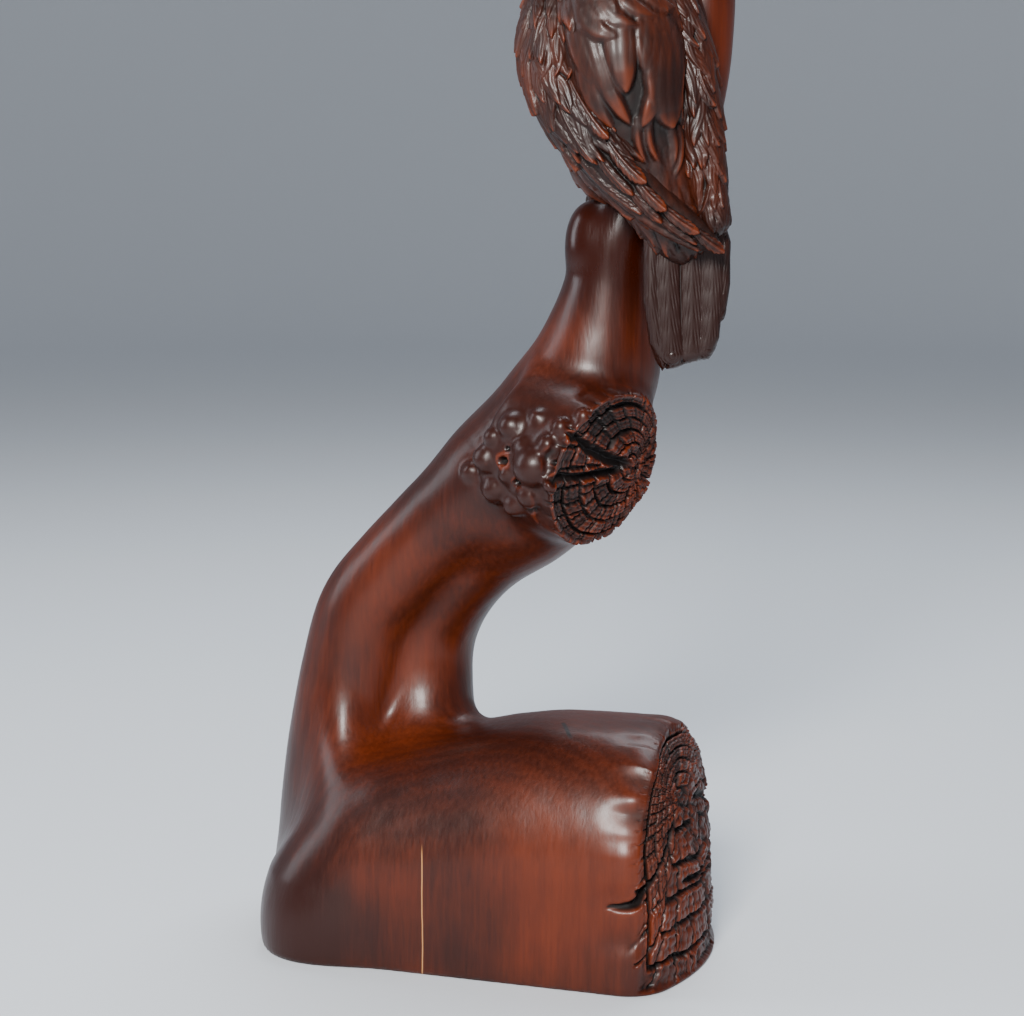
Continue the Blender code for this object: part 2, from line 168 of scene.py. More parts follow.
LEFT_LOBE = spread([
    (-44.0, 15.0, -6.0, 16.8), (-44.0, 13.0, 12.0, 16.8), (-43.0, 10.5, 30.0, 16.4),
    (-41.4, 8.5, 50.0, 15.2), (-39.0, 8.5, 68.0, 14.2), (-35.0, 7.0, 84.0, 13.4),
    (-26.4, 4.0, 96.5, 12.8), (-15.0, 0.0, 109.0, 12.8), (-4.5, -4.0, 120.0, 12.6),
], steps=9)
RIGHT_LOBE = spread([
    (-22.0, 1.0, 28.0, 19.0), (-21.0, 6.0, 46.0, 15.6), (-20.0, 10.0, 62.0, 12.6),
    (-18.4, 11.5, 78.0, 11.6), (-11.8, 8.0, 91.5, 11.2), (-1.3, 3.0, 103.0, 11.0),
    (9.8, -3.5, 113.0, 11.6), (17.0, -9.0, 120.0, 13.2),
], steps=9)
TRUNK_BACK = spread([
    (-36.0, 22.0, -6.0, 17.0), (-35.0, 22.0, 14.0, 17.4), (-34.0, 22.0, 34.0, 18.4),
    (-31.0, 20.0, 56.0, 18.6), (-28.0, 18.0, 76.0, 17.6), (-19.0, 14.0, 93.0, 15.8),
    (-6.0, 8.0, 108.0, 15.0), (4.0, 2.0, 122.0, 15.5),
], steps=9)
TRUNK_UPPER = spread([
    (4.0, 0.0, 117.0, 18.0), (13.0, -4.0, 131.0, 18.8), (23.0, -7.5, 147.0, 17.0),
    (26.4, -9.5, 160.0, 13.9), (28.0, -11.0, 171.0, 11.7), (29.6, -12.0, 182.0, 10.8),
    (37.5, -13.0, 197.0, 9.6), (46.0, -13.0, 213.0, 8.6), (49.6, -12.0, 238.0, 8.2),
    (49.0, -11.5, 262.0, 7.2), (46.0, -11.0, 283.0, 6.0), (43.0, -10.5, 295.2, 4.8),
], steps=9)
PERCH_KNOB = row(21.4, -13.5, 182.0)
FOOT_X = -43.0

# Beads of the burl, each by the x and z of its middle and its radius.
BURL_BEADS = [
    (8.0, 128.0, 5.4), (-3.6, 128.5, 3.6), (2.8, 137.0, 3.6), (-1.2, 121.0, 3.8), (7.2, 120.6, 3.4),
    (3.6, 117.4, 3.2), (14.6, 137.6, 2.4), (20.0, 140.4, 2.0), (11.4, 133.4, 2.6), (5.4, 132.6, 2.2),
    (-7.2, 124.4, 2.6), (1.6, 125.0, 2.0), (12.2, 124.0, 2.0), (-2.0, 134.2, 2.2), (9.0, 139.6, 2.0),
]
# The burl's round hole and then its small pits, each by x, z, radius and depth.
BURL_HOLES = [
    (0.6, 128.6, 1.1, 3.0), (4.2, 123.6, 0.9, 1.6), (1.8, 131.8, 0.7, 1.2), (12.8, 129.6, 0.8, 1.3),
    (7.6, 116.6, 0.8, 1.2),
]
BURL_MIDDLE = row(6.0, -14.0, 128.0)
BURL_SKIN = row(6.0, -20.0, 128.0)


def log_place(points):
    """Along, across and up in the log's own frame."""
    return points @ LOG_ALONG, points @ LOG_ACROSS - LOG_MIDDLE, points[:, 2]


def log_dome(across, up):
    """How far the end grain bulges past the log's end."""
    sideways = np.clip(1.0 - (across / LOG_HALF_DEPTH) ** 2, 0.0, 1.0)
    upright = np.clip(1.0 - np.abs(up / LOG_BULGE_TOP) ** 2.6, 0.0, 1.0)
    return LOG_BULGE * (sideways * upright)


def log_section(across, up, along=LOG_RIGHT):
    """1 on the log's outline, less inside. The shoulder and the top sink away from the sawn end."""
    side = np.abs(across) / LOG_HALF_DEPTH
    shoulder = LOG_SHOULDER - 8.0 * ease(-along, -44.0, 30.0)
    top = LOG_TOP - 8.0 * ease(-along, -22.0, 26.0)
    rise = np.maximum(up - shoulder, 0.0) / (top - shoulder)
    return (side ** LOG_ROUNDNESS + rise ** LOG_ROUNDNESS + 1e-9) ** (1.0 / LOG_ROUNDNESS)


def log_field(points):
    along, across, up = log_place(points)
    sides = (log_section(across, up, along) - 1.0) * LOG_HALF_DEPTH
    right = along - LOG_RIGHT - log_dome(across, up)
    left = LOG_LEFT - along + 0.3 * np.maximum(up - 20.0, 0.0)
    return smooth_max(smooth_max(sides, right, 8.0), left, 24.0)


def nose_field(points):
    """The low root bulge under the trunk."""
    return egg(np.stack(log_place(points), axis=1), row(-41.0, -3.0, 6.0), row(17.2, 28.0, 19.8))


def stub_place(points):
    offset = points - STUB_CENTRE
    return offset @ STUB_AXIS, offset @ STUB_SIDE, offset @ STUB_UP


def stub_dome(around):
    """How far the stub's sawn face bulges out, by the distance from its middle."""
    return STUB_BULGE * (1.0 - (around / STUB_RADIUS) ** 2)


def stub_field(points):
    out, side, up = stub_place(points)
    around = np.hypot(side, up)
    barrel = around - STUB_RADIUS
    return smooth_max(smooth_max(barrel, out - stub_dome(around), 2.4), -out - STUB_LENGTH, 4.0)


def trunk_field(points):
    trunk = smooth_min(limb(points, LEFT_LOBE), limb(points, RIGHT_LOBE), 3.0)
    trunk = smooth_min(trunk, limb(points, TRUNK_BACK), 6.0)
    trunk = smooth_min(trunk, limb(points, TRUNK_UPPER), 9.0)
    trunk = smooth_min(trunk, egg(points, PERCH_KNOB, row(4.8, 6.0, 8.6)), 4.0)
    return smooth_min(trunk, stub_field(points), 5.0)


CAST_MIDDLE = -20.0
CAST_REACH = 70.0


def cast(field, x, z, side=-1.0):
    """Where lines along Y through each (x, z) first meet the surface: from low Y for side -1, high for 1."""
    points = np.stack([x, np.full_like(x, CAST_MIDDLE + side * CAST_REACH), z], axis=1)
    for _ in range(60):
        points[:, 1] -= side * np.clip(field(points), -2.0, 4.0) * 0.8
    return points


def bead_middles():
    """Each bead's middle, a little under the bare trunk's skin."""
    x, z, radius = np.array(BURL_BEADS).T
    middles = cast(trunk_field, x, z)
    return np.column_stack([middles + row(0.25, 0.75, 0.0) * radius[:, None] * 0.45, radius])


BEADS = bead_middles()


def wood_field(points):
    """Log, trunk, burl and stub melted into one grown form. Trunk and log melt widest at the trunk's outer
    foot."""
    trunk = trunk_field(points)
    for bead in BEADS:
        trunk = smooth_min(trunk, np.linalg.norm(points - bead[:3], axis=1) - bead[3], 1.4)
    log = smooth_min(log_field(points), nose_field(points), 16.0)
    melt = 6.5 + 12.0 * np.exp(-((points[:, 0] - FOOT_X) / 9.0) ** 2)
    whole = smooth_min(trunk, log, melt)
    return smooth_max(whole, -points[:, 2], 0.8)


# ---------------------------------------------------------------- from field to mesh

def sampled(field, low, high, step, block=5):
    """The field on a grid: exact near the surface, and only its sign away from it."""
    blocks = np.ceil((high - low) / (step * block)).astype(int)
    size = step * block
    centres = np.stack(np.meshgrid(*[np.arange(n) for n in blocks], indexing="ij"), -1).reshape(-1, 3)
    rough = field(low + (centres + 0.5 - 0.5 / block) * size)
    values = np.where(rough < 0, -50.0, 50.0).reshape(blocks)
    for axis in range(3):
        values = np.repeat(values, block, axis=axis)
    near = (np.abs(rough) < size * 0.9 + 0.8).reshape(blocks)
    for axis in range(3):
        near = np.repeat(near, block, axis=axis)
    places = np.argwhere(near)
    for part in np.array_split(places, max(1, len(places) // 200000)):
        values[tuple(part.T)] = field(low + part * step)
    return values


def surface_net(values, low, step):
    """One point in each cell that the surface crosses, and one quad across each crossed edge."""
    shape = np.array(values.shape)
    cells = shape - 1
    total = np.zeros((*cells, 3))
    count = np.zeros(cells)
    crossings = []
    for axis in range(3):
        near = np.take(values, range(cells[axis]), axis=axis)
        far = np.take(values, range(1, shape[axis]), axis=axis)
        place = np.argwhere((near < 0) != (far < 0))
        first, second = near[tuple(place.T)], far[tuple(place.T)]
        spot = place.astype(float)
        spot[:, axis] += first / (first - second)
        others = [other for other in range(3) if other != axis]
        for shift_a in (0, 1):
            for shift_b in (0, 1):
                cell = place.copy()
                cell[:, others[0]] -= shift_a
                cell[:, others[1]] -= shift_b
                inside = np.all((cell >= 0) & (cell < cells), axis=1)
                index = tuple(cell[inside].T)
                np.add.at(total, index, spot[inside])
                np.add.at(count, index, 1.0)
        crossings.append((axis, others, place, first < 0))
    used = np.argwhere(count > 0)
    number = np.full(cells, -1)
    number[tuple(used.T)] = np.arange(len(used))
    points = low + total[tuple(used.T)] / count[tuple(used.T)][:, None] * step
    quads = []
    for axis, others, place, filled in crossings:
        corners = []
        for shift_a, shift_b in ((0, 0), (1, 0), (1, 1), (0, 1)):
            cell = place.copy()
            cell[:, others[0]] -= shift_a
            cell[:, others[1]] -= shift_b
            corners.append(number[tuple(np.clip(cell, 0, cells - 1).T)])
        quad = np.stack(corners, axis=1)
        turned = filled if axis != 1 else ~filled
        quads.append(np.where(turned[:, None], quad, quad[:, ::-1]))
    return points, np.vstack(quads)


def new_mesh(name, points, faces):
    mesh = bpy.data.meshes.new(name)
    mesh.from_pydata((points * UNIT).tolist(), [], faces if isinstance(faces, list) else faces.tolist())
    mesh.update()
    return mesh


def read_mesh(mesh):
    """Points in millimetres, their normals and the edges."""
    count = len(mesh.vertices)
    points = np.empty(count * 3)
    mesh.vertices.foreach_get("co", points)
    normals = np.empty(count * 3, np.float32)
    mesh.vertex_normals.foreach_get("vector", normals)
    edges = np.empty(len(mesh.edges) * 2, np.int32)
    mesh.edges.foreach_get("vertices", edges)
    return points.reshape(-1, 3) / UNIT, normals.reshape(-1, 3).astype(float), edges.reshape(-1, 2)


def write_points(mesh, points):
    mesh.vertices.foreach_set("co", (points * UNIT).ravel())
    mesh.update()


def neighbour_mean(values, edges):
    """Each point's mean over the points it shares an edge with."""
    first, second = edges.T
    degree = np.bincount(edges.ravel(), minlength=len(values))
    columns = []
    for column in values.reshape(len(values), -1).T:
        total = np.bincount(first, column[second], len(values))
        total += np.bincount(second, column[first], len(values))
        columns.append(total / np.maximum(degree, 1))
    return np.stack(columns, axis=1).reshape(values.shape)


def settle(mesh, field, rounds=2):
    """Evens the mesh out and lays it on the field's surface."""
    for _ in range(rounds):
        points, normals, edges = read_mesh(mesh)
        points += 0.5 * (neighbour_mean(points, edges) - points)
        points -= normals * np.clip(field(points), -0.8, 0.8)[:, None]
        write_points(mesh, points)


def refine(mesh, where):
    """Splits each face whose middle is wanted into four."""
    shape = bmesh.new()
    shape.from_mesh(mesh)
    middles = np.array([face.calc_center_median() for face in shape.faces]) / UNIT
    wanted = where(middles)
    edges = {edge for face, keep in zip(shape.faces, wanted) if keep for edge in face.edges}
    bmesh.ops.subdivide_edges(shape, edges=list(edges), cuts=1, use_grid_fill=True)
    shape.to_mesh(mesh)
    shape.free()


def grown_mesh(name, field, low, high, step, fine=()):
    """A mesh of the field's surface, finer wherever each of the fine tests wants it."""
    low, high = row(*low), row(*high)
    points, quads = surface_net(sampled(field, low, high, step), low, step)
    mesh = new_mesh(name, points, quads)
    settle(mesh, field, rounds=3)
    for where in fine:
        refine(mesh, where)
        settle(mesh, field, rounds=1)
    return mesh


def mark(mesh, name, values):
    layer = mesh.attributes.get(name) or mesh.attributes.new(name, "FLOAT", "POINT")
    layer.data.foreach_set("value", values.astype(np.float32))


def shape_surface(mesh, points, normals, edges, height, rounds=8, scale=0.5):
    """Moves points by height along their normals. Keeps two marks: cut, from 0 to 1 with the depth, and
    hollow, which is 1 in narrow hollows and -1 on raised edges."""
    write_points(mesh, points + normals * height[:, None])
    mark(mesh, "cut", np.clip(-height, 0.0, 3.0) / 3.0)
    around = height
    for _ in range(rounds):
        around = neighbour_mean(around, edges)
    mark(mesh, "hollow", np.clip((around - height) / scale, -1.0, 1.0))


def carve(mesh, depth):
    """Pushes points in along their normals by depth(points, normals)."""
    points, normals, edges = read_mesh(mesh)
    above_rest = ease(points[:, 2], 0.2, 2.0)
    shape_surface(mesh, points, normals, edges, -depth(points, normals) * above_rest)


# ---------------------------------------------------------------- end grain

def share_from_pith(pith, side, up, inside):
    """How far each point of an end face lies from the pith, as a share of the way to the rim."""
    low, high = np.full_like(side, 0.02), np.full_like(side, 2.0)
    for _ in range(12):
        share = 0.5 * (low + high)
        fits = inside(pith[0] + (side - pith[0]) / share, pith[1] + (up - pith[1]) / share)
        high = np.where(fits, share, high)
        low = np.where(fits, low, share)
    return high


def end_grain(side, up, reach, past, radius, bands, block, cracks, arcs, seed):
    """Depth cut into sawn end grain. side and up are measured from the pith, reach is 0 there and 1 at the
    rim, and past is the way round the rim onto the bark side."""
    flat = np.stack([side, up, np.full_like(side, seed)], axis=1)
    angle = np.arctan2(up, side) + 0.06 * noise(flat, 8.0, 3.1)
    warped = np.maximum(reach + 0.03 * noise(flat, 9.0) + 0.008 * noise(flat, 2.5, 1.7), 0.0)
    ring = np.floor(warped * bands)
    phase = warped * bands - ring
    deep_ring = 0.55 + 0.75 * hashed(ring, ring * 0 + 3)
    depth = 1.25 * deep_ring * ((1.0 - ease(phase, 0.05, 0.22)) + ease(phase, 0.93, 1.0))
    fine_ring = warped * bands * 3.0
    depth += 0.26 * (0.5 + 0.5 * np.cos(2 * math.pi * fine_ring)) ** 2
    count = np.maximum(7.0, np.round((ring + 0.6) / bands * radius * 2 * math.pi / block))
    turn = angle / (2 * math.pi) * count + hashed(ring, ring * 0 + 9) * 7
    piece = np.floor(turn)
    edge = 0.5 - np.abs(turn - piece - 0.5)
    strength = 0.35 + 1.1 * hashed(piece, ring)
    depth += 0.85 * strength * (1.0 - ease(edge * block, 0.05, 0.55))
    fine_edge = turn * 3.0 + hashed(ring, piece)
    depth += 0.22 * (0.5 + 0.5 * np.cos(2 * math.pi * fine_edge)) ** 4
    depth += 0.65 * hashed(piece + 3, ring)
    depth += 0.7 * noise(flat, 10.0, 7.7) + 0.25 * noise(flat, 1.6, 2.2) + 0.5
    core = 1.0 - ease(warped, 0.12, 0.42)
    depth += core * (0.55 * noise(flat, 1.7, 0.4) + 0.4 * noise(flat, 0.9, 6.0))
    on_face = (1.0 - ease(past, 0.4, 2.2)) * (1.0 - ease(reach, 0.955, 0.995))
    rim_notch = (1.0 - ease(past, 0.5, 4.5)) * ease(reach, 0.9, 0.97)
    notch = 0.8 * strength * (1.0 - ease(edge * block, 0.05, 0.6)) * rim_notch
    depth = np.maximum(np.maximum(depth, 0.0) * on_face, notch)
    lumps = np.stack([past * 0.10, side, up], axis=1)
    depth += (1.25 * noise(lumps, 5.2, seed) + 0.4) * ease(past, 0.0, 2.0) * (1.0 - ease(past, 3.0, 15.0))
    for start, inner, outer, width, deep, wrap in cracks:
        bend = start + 0.10 * noise(flat, 9.0, start) + 0.03 * noise(flat, 2.0, start + 1)
        away = (angle - bend + math.pi) % (2 * math.pi) - math.pi
        across = np.abs(away) * np.maximum(reach, 0.05) * radius
        ends = ease(reach, inner - 0.06, inner + 0.15) * (1.0 - ease(reach, outer, outer + 0.12))
        if outer >= 1.0:
            ends = ease(reach, inner - 0.06, inner + 0.15)
            kept = np.clip(1.0 - past / wrap, 0.0, 1.0)
        else:
            kept = on_face
        shape = np.clip(1.0 - across / (width * (0.25 + 0.75 * ends * kept)), 0.0, 1.0)
        depth = np.maximum(depth, deep * shape ** 0.7 * ends * kept ** 0.5)
    for middle, spanned, at, width, deep in arcs:
        away = np.abs((angle - middle + math.pi) % (2 * math.pi) - math.pi)
        across = np.abs(warped - at) * radius
        ends = 1.0 - ease(away, spanned * 0.5, spanned)
        shape = np.clip(1.0 - across / (width * np.maximum(ends, 0.05)), 0.0, 1.0)
        depth = np.maximum(depth, deep * shape ** 0.7 * ends * on_face)
    return depth


# Each crack: its direction from the pith, where it starts and ends between pith and rim, its half width,
# its depth and how far it runs on past the rim.
LOG_PITH = (-14.0, 45.0)
LOG_CRACKS = [
    (2.55, 0.35, 1.0, 0.6, 2.0, 3.0), (2.88, 0.3, 1.0, 0.5, 1.6, 2.4), (3.15, 0.3, 1.0, 0.8, 2.6, 3.4),
    (3.50, 0.2, 1.0, 0.7, 2.4, 3.2), (3.76, 0.3, 1.0, 0.5, 1.8, 2.4), (3.98, 0.06, 1.0, 1.4, 4.2, 9.5),
    (4.13, 0.4, 1.0, 0.5, 1.8, 3.0), (4.28, 0.3, 1.0, 0.6, 2.0, 3.4), (4.50, 0.2, 1.0, 0.9, 2.8, 4.0),
    (4.80, 0.3, 1.0, 0.7, 2.2, 3.0), (5.15, 0.2, 1.0, 1.0, 3.0, 5.0), (5.6, 0.25, 1.0, 0.8, 2.4, 4.0),
    (6.1, 0.2, 1.0, 1.0, 3.0, 6.0), (0.4, 0.3, 1.0, 0.7, 2.2, 4.0), (1.1, 0.3, 1.0, 0.6, 2.0, 3.0),
    (1.9, 0.4, 0.95, 0.5, 1.6, 2.0),
]
LOG_ARCS = [(1.9, 0.9, 0.36, 1.2, 3.4), (3.2, 0.6, 0.52, 0.6, 2.2), (5.2, 0.8, 0.45, 1.2, 3.2)]
STUB_PITH = (9.5, 0.5)
STUB_CRACKS = [
    (2.80, 0.05, 1.0, 1.5, 3.8, 2.0), (3.14, 0.10, 1.0, 1.1, 3.4, 2.0), (3.40, 0.35, 1.0, 0.6, 2.0, 2.0),
    (3.62, 0.30, 1.0, 0.7, 2.2, 2.4), (3.85, 0.35, 1.0, 0.6, 2.0, 2.0), (4.10, 0.25, 1.0, 0.8, 2.4, 2.6),
    (4.40, 0.30, 1.0, 0.7, 2.2, 3.0), (4.75, 0.25, 1.0, 0.9, 2.8, 3.4), (5.20, 0.30, 1.0, 0.9, 2.6, 3.0),
    (5.80, 0.30, 1.0, 0.8, 2.4, 3.0), (0.20, 0.30, 1.0, 1.0, 3.0, 3.4), (0.90, 0.30, 0.95, 0.8, 2.4, 2.0),
    (1.55, 0.45, 1.0, 0.6, 2.0, 2.0),
]
STUB_ARCS = [(1.9, 0.55, 0.86, 1.3, 3.0), (2.35, 0.55, 0.50, 1.2, 2.8)]


def log_end_depth(points):
    along, across, up = log_place(points)
    past = np.maximum(LOG_RIGHT + log_dome(across, up) - along - 1.0, 0.0)
    near = np.flatnonzero(past < 24.0)
    depth = np.zeros(len(points))
    side, rise, past = across[near], up[near], past[near]
    reach = share_from_pith(LOG_PITH, side, rise, lambda a, b: (log_section(a, b) < 1.0) & (b > -0.5))
    depth[near] = end_grain(side - LOG_PITH[0], rise - LOG_PITH[1], np.minimum(reach, 1.0), past,
                            LOG_HALF_DEPTH, 6.0, 5.0, LOG_CRACKS, LOG_ARCS, 11.0)
    return depth * (1.0 - ease(log_field(points), 0.5, 2.5))


def stub_end_depth(points):
    out, side, up = stub_place(points)
    around = np.hypot(side, up)
    past = np.maximum(stub_dome(around) - out - 0.5, 0.0)
    near = np.flatnonzero((past < 7.0) & (around < STUB_RADIUS + 3.0))
    side, up, past = side[near], up[near], past[near]
    reach = share_from_pith(STUB_PITH, side, up, lambda a, b: np.hypot(a, b) < STUB_RADIUS)
    depth = np.zeros(len(points))
    depth[near] = end_grain(side - STUB_PITH[0], up - STUB_PITH[1], np.minimum(reach, 1.0), past,
                            STUB_RADIUS, 6.0, 3.4, STUB_CRACKS, STUB_ARCS, 23.0)
    return depth * (1.0 - ease(stub_field(points), 0.2, 1.2))


def burl_depth(points):
    """The burl's round hole and small pits, and fine wrinkles between its beads."""
    depth = np.zeros(len(points))
    for x, z, radius, deep in BURL_HOLES:
        away = np.hypot(points[:, 0] - x, points[:, 2] - z)
        depth += deep * (1.0 - ease(away, radius * 0.5, radius * 1.25)) * (points[:, 1] < 0)
    near = 1.0 - ease(np.linalg.norm(points - BURL_SKIN, axis=1), 11.0, 17.0)
    return depth + near * 0.22 * noise(points, 1.7, 5.0)


def wood_depth(points, normals):
    """Everything cut into the log and trunk: end grain, and the carver's soft tool facets elsewhere."""
    depth = log_end_depth(points) + stub_end_depth(points) + burl_depth(points)
    facets = 0.22 * noise(points, 16.0) + 0.07 * noise(points * row(1.0, 1.0, 0.45), 4.5, 2.0)
    return depth + facets


def near_end_grain(points, log_margin=12.0, stub_margin=7.0):
    along, across, up = log_place(points)
    out, side, rise = stub_place(points)
    log_end = (along > LOG_RIGHT - log_margin) & (up < LOG_TOP + 4.0)
    stub_end = (out > -stub_margin) & (np.hypot(side, rise) < STUB_RADIUS + 2.0)
    return log_end | stub_end


def on_end_grain(points):
    return near_end_grain(points, 3.0, 3.0)


def near_burl(points):
    return np.linalg.norm(points - BURL_MIDDLE, axis=1) < 19.0


# ---------------------------------------------------------------- the bird's forms

BODY = spread([
    (25.0, -26.0, 252.0, 9.0), (26.0, -27.0, 240.0, 15.0), (28.0, -27.5, 225.0, 18.6),
    (32.5, -27.5, 209.0, 16.0), (39.0, -28.5, 194.0, 10.5), (43.0, -29.5, 184.0, 7.5),
])
BELLY = spread([(27.0, -22.0, 214.0, 14.0), (25.5, -19.0, 202.5, 8.6), (25.0, -17.0, 197.5, 5.6)])
HEAD = spread([
    (25.5, -26.5, 238.0, 14.6), (24.0, -26.5, 247.0, 11.4), (21.0, -27.0, 256.0, 10.0),
    (18.5, -27.5, 260.0, 8.2),
])
BEAK = spread([
    (17.0, -28.0, 259.0, 4.6), (10.5, -29.0, 258.2, 3.7), (6.2, -30.0, 256.0, 2.5),
    (4.4, -30.4, 253.4, 1.5), (4.3, -30.5, 251.6, 0.8),
])
LOWER_BEAK = spread([(16.0, -28.2, 255.8, 2.6), (10.5, -29.0, 254.6, 2.0), (7.6, -29.5, 253.6, 1.1)])
LEFT_WING = spread([
    (15.0, -28.0, 239.0, 8.8), (13.4, -29.5, 229.0, 9.6), (16.0, -32.0, 217.0, 9.2),
    (24.0, -35.0, 204.5, 8.2), (36.0, -37.5, 191.5, 6.2), (48.0, -38.0, 183.0, 4.0),
    (52.0, -38.0, 180.9, 2.2),
])
RIGHT_WING = spread([
    (41.0, -28.0, 238.0, 7.2), (43.8, -30.0, 227.0, 7.2), (46.4, -32.0, 213.0, 6.8),
    (48.6, -34.0, 199.0, 5.6), (51.0, -36.0, 187.5, 3.6),
])
TAIL_OUTLINE = [
    (35.5, 192.0), (34.0, 182.0), (33.9, 168.0), (36.0, 157.0), (39.4, 150.6),
    (51.0, 153.6), (54.0, 158.6), (56.2, 172.0), (56.0, 182.0), (53.0, 192.0),
]
TAIL_DEPTH = 7.0
TAIL_BACK = -29.5
EYE_SPREAD = 8.4
EYE_RADIUS = 1.5
EYE_PLACE = row(17.4, -27.4, 260.4)


def body_field(points):
    return smooth_min(limb(points, BODY), limb(points, BELLY), 7.0)


def head_field(points):
    """Head and neck with brow ridges over sunk eyes and a hooked beak."""
    head = smooth_min(limb(points, HEAD), limb(points, BEAK), 2.2)
    head = smooth_min(head, limb(points, LOWER_BEAK), 0.6)
    for side in (-1.0, 1.0):
        eye = EYE_PLACE + row(0.0, side * EYE_SPREAD, 0.0)
        brow = spread([
            eye + row(-4.6, -side * 1.6, 1.4),
            eye + row(-0.5, side * 0.1, 2.6),
            eye + row(4.5, -side * 0.3, 2.4),
        ])
        stations = np.column_stack([brow, np.linspace(1.2, 1.7, len(brow))])
        head = smooth_min(head, limb(points, stations), 1.4)
        socket = np.linalg.norm(points - eye - row(-0.4, side * 0.9, -0.1), axis=1) - 2.1
        head = smooth_max(head, -socket, 1.2)
    return head


def left_wing_field(points):
    return limb(points, LEFT_WING)


def right_wing_field(points):
    return limb(points, RIGHT_WING)


def tail_field(points):
    """A plate with the tail's outline and rounded edges."""
    outline = np.array(TAIL_OUTLINE)
    flat = points[:, [0, 2]]
    nearest = np.full(len(points), 1e9)
    inside = np.zeros(len(points), bool)
    for start, end in zip(outline, np.roll(outline, -1, axis=0)):
        along = end - start
        offset = flat - start
        share = np.clip(offset @ along / (along @ along), 0.0, 1.0)
        nearest = np.minimum(nearest, np.linalg.norm(offset - share[:, None] * along, axis=1))
        crossing = (start[1] > flat[:, 1]) != (end[1] > flat[:, 1])
        at = start[0] + (flat[:, 1] - start[1]) * along[0] / (along[1] + 1e-9)
        inside ^= crossing & (flat[:, 0] < at)
    edge = np.where(inside, -nearest, nearest)
    middle = TAIL_BACK + 0.5 * (1.0 - ((points[:, 0] - 45.0) / 11.0) ** 2)
    return smooth_max(edge, np.abs(points[:, 1] - middle) - TAIL_DEPTH / 2, 3.5)


ANKLE_RADIUS = 2.7
TOE_REACH = 6.4
TOE_DROP = 5.0


def toes(ankle):
    """Stations of three toes forward and one back, each ending in a claw."""
    reach, drop = TOE_REACH, TOE_DROP
    made = []
    for turn in (-0.25, 0.2, 0.65):
        sideways, forward = math.sin(turn), math.cos(turn)
        made.append(spread([
            (*ankle, 2.0),
            (ankle[0] + sideways * reach * 0.5, ankle[1] + forward * reach * 0.5, ankle[2] + 0.2, 1.7),
            (ankle[0] + sideways * reach, ankle[1] + forward * reach, ankle[2] - drop * 0.4, 1.35),
            (ankle[0] + sideways * reach * 1.16, ankle[1] + forward * reach * 1.2, ankle[2] - drop, 0.45),
        ]))
    made.append(spread([
        (*ankle, 2.0), (ankle[0] - 1.0, ankle[1] - reach * 0.4, ankle[2] - drop * 0.4, 1.5),
        (ankle[0] - 1.6, ankle[1] - reach * 0.55, ankle[2] - drop, 0.5),
    ]))
    return made


# ---------------------------------------------------------------- feathers

def onto(field, points, rounds=3):
    """Moves points onto the surface and gives the outward directions there."""
    for _ in range(rounds):
        value = field(points)
        slope = np.stack([field(points + step) - value for step in np.eye(3) * 0.2], axis=1)
        slope = unit(slope + 1e-12)
        points = points - slope * np.clip(value, -4.0, 4.0)[:, None]
    return points, slope


def drawn(field, start, end, bend=0.0, side=-1.0, steps=7):
    """A path on the surface between two places given by x and z, bowed sideways by bend."""
    start, end = np.array(start, float), np.array(end, float)
    share = np.linspace(0.0, 1.0, steps)
    across = np.array([end[1] - start[1], start[0] - end[0]])
    flat = start + (end - start) * share[:, None] + across * (bend * 4 * share * (1 - share))[:, None]
    path, _ = onto(field, cast(field, flat[:, 0], flat[:, 1], side), rounds=2)
    return path


def grown_paths(field, seeds, flow, length, curl, steps=6):
    """Paths that run over the surface from the seeds with the flow, each with its own length and curl."""
    places, outward = onto(field, seeds)
    paths = [places]
    for step in range(steps):
        ahead = unit(flow(places))
        ahead = ahead + np.cross(outward, ahead) * (curl * math.sin(math.pi * (step + 0.5) / steps))[:, None]
        ahead = unit(ahead - outward * np.einsum("ij,ij->i", ahead, outward)[:, None])
        places, outward = onto(field, places + ahead * (length / steps)[:, None], rounds=2)
        paths.append(places)
    return np.stack(paths, axis=1)


def thinned(points, gap, generator):
    """One point from each cell of the given size, in no order."""
    shuffled = points[generator.permutation(len(points))]
    cells = np.floor(shuffled / gap).astype(int)
    _, first = np.unique(cells, axis=0, return_index=True)
    return shuffled[first]


def follow(points, normals, path):
    """How far along a path each point lies, in millimetres, and how far to its side."""
    lengths = np.linalg.norm(np.diff(path, axis=0), axis=1)
    nearest = np.full(len(points), 1e9)
    along = np.zeros(len(points))
    aside = np.zeros(len(points))
    passed = 0.0
    for start, end, length in zip(path, path[1:], lengths):
        ahead = (end - start) / max(length, 1e-6)
        offset = points - start
        share = np.clip(offset @ ahead, 0.0, length)
        away = offset - share[:, None] * ahead
        away -= normals * np.einsum("ij,ij->i", away, normals)[:, None] * 0.7
        gap = np.einsum("ij,ij->i", away, away)
        closer = gap < nearest
        nearest[closer] = gap[closer]
        along[closer] = passed + share[closer]
        turn = np.einsum("ij,ij->i", np.cross(normals, ahead), away)
        aside[closer] = (np.sign(turn) * np.sqrt(gap))[closer]
        passed += length
    return along, aside, passed


